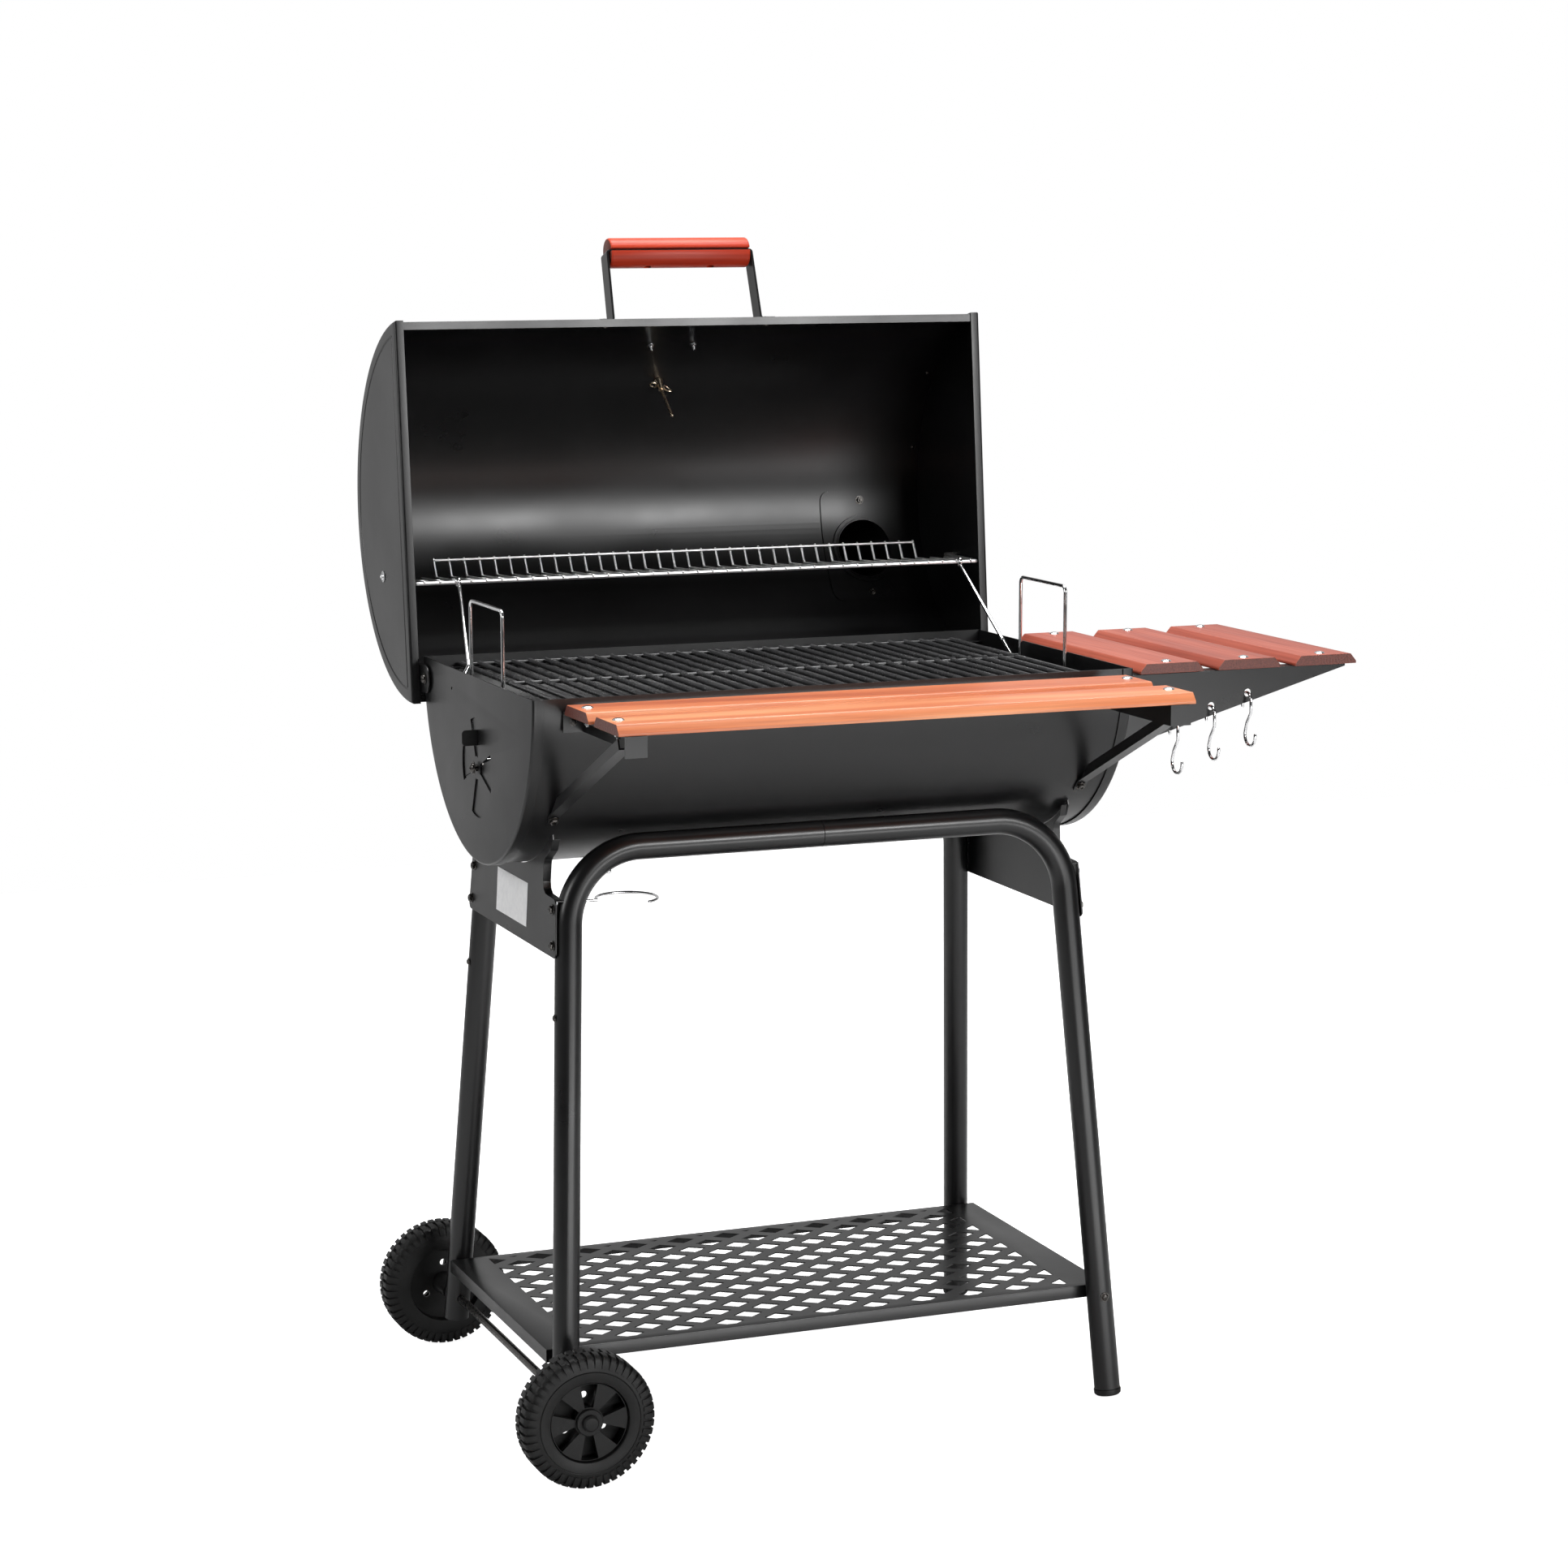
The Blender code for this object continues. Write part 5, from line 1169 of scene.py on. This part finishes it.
def build_rack_legs():
    """Wire legs with an eye round the rack's front rod."""
    eye_r = 4.6 * MM
    foot_y = HINGE.y - RACK_DEPTH
    lean = math.atan2(RACK_Z - HINGE.z, RACK_Y - foot_y)
    for side, word in SIDES:
        eye_x = RACK_LEG_TOP_X[word]
        eye = arc(eye_r, lean + math.pi, lean + math.pi - math.radians(300), 24, (RACK_Y, RACK_Z))
        corners = [
            (side * (BARREL_HALF - 0.6 * MM), foot_y, HINGE.z),
            (side * RACK_LEG_FOOT_X, foot_y, HINGE.z),
            (RACK_LEG_KNEE_X[word], RACK_LEG_KNEE_Y, RACK_LEG_KNEE_Z),
            (eye_x, *eye[0]),
        ]
        turns = [(eye_x + side * 1.2 * MM * i / 24, y, z) for i, (y, z) in enumerate(eye)]
        path = rounded_path(corners, 3 * MM, 6)[:-1] + turns
        leg = tube(path, 2.2 * MM, 14, dome=True)
        add_piece(f"rack_link_{word}", leg, CHROME, f"rack_leg_{word}", [f"rack_leg_{word}"])


# ---------------------------------------------------------------- frame and wheels


def leg_point(side_x, side_y, z):
    """A point on a leg's centre line."""
    return Vector((side_x * (FOOT_X - SPLAY_X * z), side_y * (FOOT_Y - SPLAY_Y * z), z))


def build_legs():
    """Bent tubes, the sleeve that joins each pair, and the plugs in the standing feet."""
    plug = in_mm((0, -14), (13, -14), (13.8, -12), (13.8, 0.3), (16.8, 0.3))
    plug += in_mm((17, 1), (16.6, 6), (14.5, 8), (0, 8))
    for side_y, depth in ENDS:
        for side_x, word in SIDES:
            end_z = LEFT_LEG_END_Z if side_x < 0 else RIGHT_LEG_END_Z
            corner = leg_point(side_x, side_y, RAIL_Z)
            corners = [leg_point(side_x, side_y, end_z), corner, (side_x * GAP, corner.y, RAIL_Z)]
            leg = tube(rounded_path(corners, LEG_BEND_R, 24), TUBE_R, 40, TUBE_BORE_R)
            if side_x < 0:
                hole = drill(leg_point(-1, side_y, WHEEL_R), (0, 1, 0), AXLE_R + 0.4 * MM, 60 * MM)
                leg = carve(leg, [hole])
            add_painted(f"tube_{depth}_{word}", leg, "stand", f"leg_{depth}_{word}", bevel=0.3 * MM)
        down = (leg_point(1, side_y, 0) - leg_point(1, side_y, RAIL_Z)).normalized()
        foot = lathe(plug, leg_point(1, side_y, RIGHT_LEG_END_Z), down, 40)
        add_piece(f"foot_cap_{depth}", foot, PLASTIC, "stand", [f"foot_plug_{depth}"])
        rail_y = side_y * (FOOT_Y - SPLAY_Y * RAIL_Z)
        ends = [(-30 * MM, rail_y, RAIL_Z), (30 * MM, rail_y, RAIL_Z)]
        sleeve = tube(ends, TUBE_BORE_R - 0.1 * MM, 40, TUBE_BORE_R - 1.4 * MM)
        add_painted(f"rail_sleeve_{depth}", sleeve, "stand")


def rounded_outline(points, radii, steps=6):
    """A closed (a, b) outline with each corner turned at its own radius."""
    outline = []
    count = len(points)
    for i, radius in enumerate(radii):
        here = Vector((*points[i], 0))
        back = Vector((*points[i - 1], 0)) - here
        ahead = Vector((*points[(i + 1) % count], 0)) - here
        half = back.angle(ahead) / 2
        reach = min(radius / math.tan(half), back.length * 0.48, ahead.length * 0.48)
        if reach < 0.05 * MM:
            outline.append(points[i])
            continue
        start, end = here + back.normalized() * reach, here + ahead.normalized() * reach
        for k in range(steps + 1):
            t = k / steps
            spot = start * (1 - t) ** 2 + here * 2 * t * (1 - t) + end * t**2
            outline.append((spot.x, spot.y))
    return outline


def offset_line(line, depth):
    """A plane line moved sideways to its right by a depth."""
    moved = []
    for i, here in enumerate(line):
        before, after = line[max(i - 1, 0)], line[min(i + 1, len(line) - 1)]
        run = Vector((after[0] - before[0], after[1] - before[1])).normalized()
        moved.append((here[0] + run.y * depth, here[1] - run.x * depth))
    return moved


def build_leg_plates():
    """The sheets that join each pair of legs, with folds along their horns, bolts and a blank label."""
    lean = math.atan(SPLAY_X)
    along = 1 / math.cos(lean)
    cradle_r, cradle_y = SHELL_R + 1.5 * MM, 146 * MM
    angle = math.acos(cradle_y / cradle_r)
    cradle = arc(cradle_r, math.pi + angle, 2 * math.pi - angle, 48, (0, BARREL_Z))
    cradle = [(y, z * along) for y, z in cradle]
    side = in_mm((148, 736), (140, 722), (119, 708), (118, 682), (121, 674),
                 (129, 669), (163, 668), (168, 664), (175, 604), (170, 599))
    side = [(y, z * along) for y, z in side]
    corner_r = [r * MM for r in (2, 4, 12, 8, 6, 6, 4, 4, 5, 5)]
    outline = cradle + side + [(-y, z) for y, z in reversed(side)]
    outline = rounded_outline(outline, [0] * len(cradle) + corner_r + corner_r[::-1])
    near = TUBE_R + 2 * GAP
    horn = [(146 * MM, 736 * MM * along)] + side[1:7] + [(170 * MM, 667.5 * MM * along)]
    horn = rounded_outline(horn, [0] + corner_r[1:7] + [0])
    for sign, word in SIDES:
        place = STAND @ Matrix.Translation((sign * FOOT_X, 0, 0)) @ Matrix.Rotation(-sign * lean, 4, "Y")
        plate = prism(outline, *sorted((sign * near, sign * (near + PLATE_T))), "X")
        fold_x = sorted((sign * (near + PLATE_T / 2), sign * (near - 8 * MM)))
        folds = []
        for side_y in (-1, 1):
            strip = [(side_y * y, z) for y, z in horn + offset_line(horn, 1.8 * MM)[::-1]]
            folds.append(prism(strip, *fold_x, "X"))
        add_painted(f"plate_{word}", merge(plate, *folds), "stand", f"leg_plate_{word}", place, 0.4 * MM)
        outside = sign * (near + PLATE_T)
        bolts = []
        for side_y in (-1, 1):
            for y, z in in_mm((157.4, 655), (164, 613)):
                bolts.append(sized((outside, side_y * y, z * along), (sign, 0, 0), 4.6 * MM))
        add_fasteners(f"plate_bolts_{word}", HEX, bolts, "stand", place)
        if sign < 0:
            low, high = 617 * MM * along, 670 * MM * along
            foil = box(outside - 0.25 * MM, outside, -61 * MM, 60 * MM, low, high)
            add_piece("blank_label", foil, LABEL, "stand", (), place)


def build_frame_bolts():
    """Bolts of the lower shelf, and the one in each left leg's spare hole."""
    spare_z = 530 * MM
    bolts = []
    for side_y in (-1, 1):
        for side_x in (-1, 1):
            center = leg_point(side_x, side_y, 129 * MM)
            bolts.append(sized(center + Vector((0, side_y * TUBE_R, 0)), (0, side_y, 0), 4.4 * MM))
        center = leg_point(-1, side_y, spare_z)
        bolts.append(sized(center + Vector((-TUBE_R, 0, 0)), (-1, 0, 0), 3.6 * MM))
    add_fasteners("shelf_screws", PAN_HEAD, bolts)


def build_bottom_shelf():
    """A sheet with turned-down edges and rows of diamond holes."""
    t, top, low = SHEET, SHELF_TOP_Z, SHELF_TOP_Z - SHELF_EDGE
    r = 1.6 * MM
    outside = ((0, low), (0, top - r), (0.47 * MM, top - 0.47 * MM), (r, top))
    inside = ((r, top - t), (t + 0.2 * MM, top - t - 0.2 * MM), (t, top - r), (t, low))
    bm = bmesh.new()
    loops = []
    for inset, z in outside + inside:
        x, y = SHELF_HALF_X - inset, SHELF_HALF_Y - inset
        loops.append([bm.verts.new(p) for p in ((x, y, z), (-x, y, z), (-x, -y, z), (x, -y, z))])
    bm.faces.new(loops[3])
    bm.faces.new(loops[4])
    for a, b in ((0, 1), (1, 2), (2, 3), (4, 5), (5, 6), (6, 7), (7, 0)):
        for i in range(4):
            j = (i + 1) % 4
            bm.faces.new((loops[a][i], loops[a][j], loops[b][j], loops[b][i]))
    pitch_x, pitch_y, share = 64 * MM, 44 * MM, 0.6
    half_x, half_y = pitch_x / 2 * share, pitch_y / 2 * share
    field_x, field_y = 321 * MM, 187 * MM
    holes = []
    for row in range(-10, 11):
        for column in range(-6, 7):
            cx = column * pitch_x + (pitch_x / 2 if row % 2 else 0)
            cy = -2 * MM + row * pitch_y / 2
            diamond = [(cx - half_x, cy), (cx, cy - half_y), (cx + half_x, cy), (cx, cy + half_y)]
            clipped = clip(diamond, field_x, field_y)
            if len(clipped) > 2:
                holes.append(prism(clipped, top - 8 * MM, top + 8 * MM, "Z"))
    add_painted("lower_shelf", carve(bm, [merge(*holes)]), "stand", "bottom_shelf")


def clip(points, half_x, half_y):
    """A convex outline cut to a centred rectangle."""
    for axis, sign, limit in ((0, 1, half_x), (0, -1, half_x), (1, 1, half_y), (1, -1, half_y)):
        kept = []
        for here, after in zip(points, points[1:] + points[:1]):
            inside = limit - sign * here[axis]
            beyond = limit - sign * after[axis]
            if inside > 0:
                kept.append(here)
            if (inside > 0) != (beyond > 0):
                t = inside / (inside - beyond)
                kept.append(tuple(h + (a - h) * t for h, a in zip(here, after)))
        points = kept
    return points


def wheel_profile(*points):
    """Profile points from (radius, depth below the wheel's outer face) in millimetres."""
    return [(r * MM, WHEEL_WIDTH / 2 - depth * MM) for r, depth in points]


def build_wheels():
    """Axle, nuts, and moulded wheels with a lugged tread and six windows."""
    center = Vector((WHEEL_X, 0, WHEEL_R))
    ends = [center + Vector((0, side * (WHEEL_OUTER_Y + 3 * MM), 0)) for side in (-1, 1)]
    add_piece("axle_rod", tube(ends, AXLE_R, 24, dome=True), DARK_STEEL, "stand", ["wheel_axle"])
    nut = in_mm((0, 0), (9.5, 0), (10, 0.8), (9.6, 3.6), (7.5, 5.8), (0, 6.6))
    for side, word in ENDS:
        out = (0, side, 0)
        middle = center + Vector((0, side * (WHEEL_OUTER_Y - WHEEL_WIDTH / 2), 0))
        wheel, nodes = make_wheel(middle, side), [f"wheel_{word}"]
        add_piece(f"tyre_{word}", wheel, PLASTIC, f"wheel_{word}", nodes)
        at = center + Vector((0, side * (WHEEL_OUTER_Y - 2.4 * MM), 0))
        cap, nodes = lathe(nut, at, out, 32), [f"axle_nut_{word}"]
        add_piece(f"axle_cap_{word}", cap, PLASTIC, "stand", nodes)


def make_wheel(middle, side):
    """A hollow tyre with its tread blocks, a dish with six windows, and a web with three holes behind it."""
    out = (0, side, 0)
    tyre = wheel_profile((47.5, 7), (48.5, 2.2), (50.5, 1), (60.5, 0.6), (61.2, 1.4), (62, 0.9))
    tyre += wheel_profile((68, 1.6), (74, 3.4), (77, 6.5), (77.6, 9), (77.6, 34), (77, 36.5))
    tyre += wheel_profile((74, 39.6), (68, 41.4), (62, 42.1), (60, 42.6), (48.5, 42), (47.5, 36))
    shapes = [lathe(tyre, middle, out, 96, True), stamp(make_lug(), lug_places(middle, side))]
    dish = wheel_profile((5.4, 9), (7, 9), (7.2, 2.6), (15.2, 2.6), (16, 3.6), (16, 7), (46.6, 6))
    dish += wheel_profile((46.9, 5), (47.5, 12), (46, 13), (16, 13), (12, 68), (5.4, 68))
    wide, narrow = math.radians(13.5), math.radians(17)
    windows = []
    for k in range(6):
        turn = math.radians(30 + 60 * k)
        wedge = arc(46 * MM, turn - wide, turn + wide, 6) + arc(17.5 * MM, turn + narrow, turn - narrow, 4)
        window = prism(wedge, WHEEL_WIDTH / 2 - 16 * MM, WHEEL_WIDTH / 2 + 4 * MM, "Z")
        window.transform(toward(middle, out))
        windows.append(window)
    shapes.append(carve(lathe(dish, middle, out, 96, True), windows))
    web = in_mm((13, -5), (47.6, -5), (47.6, -8), (13, -8))
    holes = []
    for k in range(3):
        turn = math.radians(90 + 120 * k)
        spot = middle + Vector((27 * MM * math.cos(turn), side * -6.5 * MM, 27 * MM * math.sin(turn)))
        holes.append(drill(spot, out, 4.4 * MM, 12 * MM))
    shapes.append(carve(lathe(web, middle, out, 96, True), holes))
    return merge(*shapes)


def make_lug():
    """One tread block in the wheel's own axes: it wraps from the side wall onto half of the tread."""
    spread = math.radians(360 / TREAD_LUGS * 0.31)
    wall = wheel_profile((66, 0.3), (73, 0.9), (77.5, 2.6), (79.9, 5.5), (80.6, 8))
    tread = in_mm((80.6, 1.5), (76.6, 0.5))
    profile = wall + tread + wheel_profile((76.6, 9), (72, 5), (66, 2.6))
    loops = []
    for turn in (-spread, spread):
        loops.append([(r * math.cos(turn), r * math.sin(turn), h) for r, h in profile])
    return as_mesh(loft(loops))


def lug_places(middle, side):
    """Where the tread blocks go: one row towards each side, half a pitch apart."""
    places = []
    for k in range(TREAD_LUGS):
        turn = math.tau * k / TREAD_LUGS
        places.append(toward(middle, (0, side, 0)) @ Matrix.Rotation(turn, 4, "Z"))
        places.append(toward(middle, (0, -side, 0)) @ Matrix.Rotation(turn + math.pi / TREAD_LUGS, 4, "Z"))
    return places


# ---------------------------------------------------------------- shelves


def slat_outline(start, low, width):
    """A board's section: flat below, rounded where its sides slope in towards the top."""
    high = low + SLAT_T
    points = [(start, low), (start + width, low), (start + width, low + 3 * MM),
              (start + width - SLAT_CHAMFER, high), (start + SLAT_CHAMFER, high), (start, low + 3 * MM)]
    return rounded_outline(points, [0.8 * MM, 0.8 * MM, 3 * MM, 3 * MM, 3 * MM, 3 * MM], 5)


def build_front_shelf():
    """Two boards on a pair of folded arms with braces, bolted through."""
    for i, word in enumerate(("inner", "outer")):
        start = FRONT_SLAT_BACK_Y - FRONT_SLAT_W - i * FRONT_SLAT_PITCH
        section = slat_outline(start, FRONT_SLAT_Z, FRONT_SLAT_W)
        slat, nodes = prism(section, -FRONT_SLAT_HALF, FRONT_SLAT_HALF, "X"), [f"front_slat_{word}"]
        add_piece(f"front_board_{word}", slat, FRONT_WOOD, "stand", nodes, bevel=0.7 * MM)
    top = FRONT_SLAT_Z - GAP
    low = top - ARM_HEIGHT
    back = -SHELL_R - 1 * MM
    for side, word in SIDES:
        web = sorted((side * ARM_X, side * (ARM_X + PLATE_T)))
        flange = sorted((side * ARM_X, side * (ARM_X + ARM_FLANGE)))
        arm = carve(box(*web, ARM_END_Y, back, low, top), [
            box(*flange, ARM_END_Y, back, top - PLATE_T, top),
            box(*flange, ARM_END_Y, ARM_END_Y + PLATE_T, low, top),
            box(*flange, back - PLATE_T, back, low, top),
        ], "UNION")
        add_painted(f"bracket_{word}", arm, "stand", f"shelf_arm_{word}", bevel=0.5 * MM)
        build_brace(word, side * BRACE_X)
    bolts, nuts = [], []
    for side in (-1, 1):
        for y in FRONT_BOLT_YS:
            bolts.append(sized((side * FRONT_BOLT_X, y, FRONT_SLAT_Z + SLAT_T), UP, 7 * MM))
            nuts.append(sized((side * FRONT_BOLT_X, y, top - PLATE_T), (0, 0, -1), 4 * MM))
    add_fasteners("front_shelf_bolts", DOME, bolts, material=BRIGHT)
    add_fasteners("front_shelf_nuts", NUT, nuts, material=BRIGHT)
    screw_x, screw_z = 333 * MM, top - 12 * MM
    screws = [sized((side * screw_x, back - PLATE_T, screw_z), (0, -1, 0), 3.6 * MM) for side in (-1, 1)]
    add_fasteners("bracket_screws", PAN_HEAD, screws)


def build_brace(word, x):
    """A folded angle bar whose lower end is flattened and bolted to the firebox."""
    outward = Vector((math.cos(BRACE_ANGLE), math.sin(BRACE_ANGLE)))
    along = Vector((outward.y, -outward.x))
    seat = Vector((0, BARREL_Z)) + outward * (SHELL_R + GAP)
    bend = seat + along * 8 * MM
    tip = Vector((-426 * MM, 884 * MM))
    run = (tip - bend).normalized()
    under = Vector((-run.y, run.x))
    half_w, height = 7.5 * MM, 10 * MM
    end = seat - along * 9 * MM
    strip = [end, bend, tip, tip + under * PLATE_T, bend + under * PLATE_T, end + outward * PLATE_T]
    flat = prism(strip, x - half_w, x + half_w, "X")
    start, full = bend + run * 10 * MM, bend + run * 38 * MM
    half_t = under * PLATE_T / 2
    web = [start + half_t, full - under * height, tip - under * height, tip + half_t]
    brace = carve(flat, [prism(web, x - half_w, x - half_w + PLATE_T, "X")], "UNION")
    add_painted(f"strut_{word}", brace, "stand", f"shelf_brace_{word}", bevel=0.5 * MM)
    bolt = sized((x, *(seat - along * 1 * MM + outward * PLATE_T)), (0, *outward), 4.6 * MM)
    add_fasteners(f"strut_bolt_{word}", HEX, [bolt])


def side_edge_z(x):
    """Height of the side plates' sloping lower edge."""
    return 812 * MM + 87 * MM * (x - BARREL_HALF) / (SIDE_TIP_X - BARREL_HALF)


def build_side_shelf():
    """Three boards on triangular plates, and the S hooks."""
    x0 = BARREL_HALF + GAP
    top = SIDE_SLAT_Z - GAP
    outline = [(x0, side_edge_z(x0)), (SIDE_TIP_X, side_edge_z(SIDE_TIP_X)), (SIDE_TIP_X, top), (x0, top)]
    for word, y, inward in (("front", SIDE_FRONT_Y, 1), ("rear", SIDE_REAR_Y, -1)):
        plate = prism(outline, *sorted((y, y + inward * PLATE_T)), "Y")
        y0, y1 = sorted((y, y + inward * 20 * MM))
        flanges = [box(x0, SIDE_TIP_X, y0, y1, top - PLATE_T, top)]
        flanges.append(box(x0, x0 + PLATE_T, y0, y1, side_edge_z(x0), top))
        plate = carve(plate, flanges, "UNION")
        if word == "front":
            holes = [drill((x, y, side_edge_z(x) + HOOK_HOLE_UP), (0, 1, 0), 5 * MM) for x in HOOK_XS]
            plate = carve(plate, holes)
        add_painted(f"bracket_side_{word}", plate, "stand", f"side_plate_{word}", bevel=0.5 * MM)
    start, end = SIDE_FRONT_Y - SIDE_OVERHANG, SIDE_REAR_Y + SIDE_OVERHANG
    bolts, nuts = [], []
    for i in range(3):
        x = SIDE_SLAT_X + i * SIDE_SLAT_PITCH
        slat = prism(slat_outline(x, SIDE_SLAT_Z, SIDE_SLAT_W), start, end, "Y")
        nodes = [f"side_slat_{i + 1}"]
        add_piece(f"side_board_{i + 1}", slat, SIDE_WOOD, "stand", nodes, bevel=0.7 * MM)
        for y in SIDE_BOLT_YS:
            bolts.append(sized((x + SIDE_SLAT_W / 2, y, SIDE_SLAT_Z + SLAT_T), UP, 6.5 * MM))
            nuts.append(sized((x + SIDE_SLAT_W / 2, y, top - PLATE_T), (0, 0, -1), 4 * MM))
    add_fasteners("side_shelf_bolts", DOME, bolts, material=BRIGHT)
    add_fasteners("side_shelf_nuts", NUT, nuts, material=BRIGHT)
    for i, x in enumerate(HOOK_XS):
        build_hook(i + 1, x)


def build_hook(number, x):
    """An S of chromed wire, through a hole in the front plate."""
    upper_r, lower_r, drop = 12 * MM, 13 * MM, 52 * MM
    upper = arc(upper_r, math.radians(-40), math.radians(150), 24, (2 * MM, -upper_r))
    middle = [(-9 * MM, -24 * MM), (-4 * MM, -31 * MM), (1 * MM, -drop + 14 * MM)]
    lower = arc(lower_r, math.radians(15), math.radians(-195), 26, (-8 * MM, -drop))
    z0 = side_edge_z(x) + HOOK_HOLE_UP
    path = [(x, SIDE_FRONT_Y + y, z0 + z) for y, z in upper + middle + lower]
    hook = tube(path, 1.8 * MM, 14, dome=True)
    add_piece(f"s_hook_{number}", hook, CHROME, f"hook_{number}", [f"tool_hook_{number}"])


# ---------------------------------------------------------------- stage


def build_camera():
    """The photograph's viewpoint."""
    yaw, pitch, roll = CAMERA_YAW, CAMERA_PITCH, CAMERA_ROLL
    ahead = Vector((math.sin(yaw) * math.cos(pitch), math.cos(yaw) * math.cos(pitch), -math.sin(pitch)))
    right = Vector((math.cos(yaw), -math.sin(yaw), 0))
    down = -right.cross(ahead)
    across = right * math.cos(roll) + down * math.sin(roll)
    below = down * math.cos(roll) - right * math.sin(roll)
    turn = Matrix((across, -below, -ahead)).transposed().to_4x4()
    camera = bpy.data.objects.new("camera", bpy.data.cameras.new("camera"))
    camera.data.lens = CAMERA_LENS
    camera.data.sensor_width = 36
    camera.data.shift_x, camera.data.shift_y = CAMERA_SHIFT
    camera.data.clip_end = 100
    camera.matrix_world = STAND @ Matrix.Translation(CAMERA_AT) @ turn
    bpy.context.scene.collection.objects.link(camera)
    bpy.context.scene.camera = camera


def add_area_light(name, at, target, size, power):
    """A soft rectangular light that looks at a point."""
    light = bpy.data.lights.new(name, "AREA")
    light.shape = "RECTANGLE"
    light.size, light.size_y = size
    light.energy = power
    obj = bpy.data.objects.new(name, light)
    direction = Vector(target) - Vector(at)
    obj.rotation_euler = direction.to_track_quat("-Z", "Y").to_euler()
    obj.location = at
    bpy.context.scene.collection.objects.link(obj)


def light_path_mix(nodes, links, seen, felt):
    """One shader for what the camera sees directly and another for the light it gives."""
    path = nodes.new("ShaderNodeLightPath")
    mix = nodes.new("ShaderNodeMixShader")
    links.new(path.outputs["Is Camera Ray"], mix.inputs["Fac"])
    links.new(felt, mix.inputs[1])
    links.new(seen, mix.inputs[2])
    return mix.outputs["Shader"]


def build_floor():
    """A pale floor that reads as white and gives back some of the light."""
    bm = box(-FLOOR_HALF, FLOOR_HALF, -FLOOR_HALF, FLOOR_HALF, -0.02, -0.0005)
    mesh = bpy.data.meshes.new("floor")
    bm.to_mesh(mesh)
    bm.free()
    floor = bpy.data.objects.new("floor", mesh)
    shader = Shader("pale_floor", FLOOR_COLOR, 0.9)
    cloud = shader.noise(3, 2)
    shader.tint(cloud, tuple(c * 0.97 for c in FLOOR_COLOR), FLOOR_COLOR)
    glow = shader.nodes.new("ShaderNodeEmission")
    glow.inputs["Strength"].default_value = FLOOR_GLOW
    blend = shader.nodes.new("ShaderNodeAddShader")
    shader.links.new(glow.outputs["Emission"], blend.inputs[0])
    shader.links.new(shader.main.outputs["BSDF"], blend.inputs[1])
    surface = light_path_mix(shader.nodes, shader.links, blend.outputs["Shader"], shader.main.outputs["BSDF"])
    shader.links.new(surface, shader.nodes["Material Output"].inputs["Surface"])
    mesh.materials.append(shader.material)
    bpy.context.scene.collection.objects.link(floor)


def build_world():
    """White to the camera. As light, a bright backdrop behind the grill and a dim room in front."""
    world = bpy.data.worlds.new("studio")
    world.use_nodes = True
    nodes, links = world.node_tree.nodes, world.node_tree.links
    white = nodes["Background"]
    white.inputs["Color"].default_value = (1, 1, 1, 1)
    white.inputs["Strength"].default_value = 1.0
    room = nodes.new("ShaderNodeBackground")
    split = nodes.new("ShaderNodeSeparateXYZ")
    links.new(nodes.new("ShaderNodeTexCoord").outputs["Generated"], split.inputs["Vector"])
    strength = nodes.new("ShaderNodeMapRange")
    strength.interpolation_type = "SMOOTHSTEP"
    spread = (("From Min", -0.1), ("From Max", 0.7), ("To Min", ROOM_LIGHT), ("To Max", BACKDROP_LIGHT))
    for socket, number in spread:
        strength.inputs[socket].default_value = number
    links.new(split.outputs["Y"], strength.inputs["Value"])
    links.new(strength.outputs["Result"], room.inputs["Strength"])
    surface = light_path_mix(nodes, links, white.outputs["Background"], room.outputs["Background"])
    links.new(surface, nodes["World Output"].inputs["Surface"])
    bpy.context.scene.world = world


def build_stage():
    """White floor and surroundings, and large soft lights."""
    build_floor()
    build_world()
    for name, at, target, size, power in LIGHTS:
        add_area_light(name, at, target, size, power)
    bpy.context.scene.view_settings.view_transform = "Standard"


def main():
    """Every piece, then the camera and the stage."""
    build_firebox()
    build_damper()
    build_grates()
    build_pan()
    build_grease_ring()
    build_hinge_bolts()
    build_lid()
    build_rack()
    build_rack_legs()
    build_legs()
    build_leg_plates()
    build_frame_bolts()
    build_bottom_shelf()
    build_wheels()
    build_front_shelf()
    build_side_shelf()
    build_camera()
    build_stage()


main()
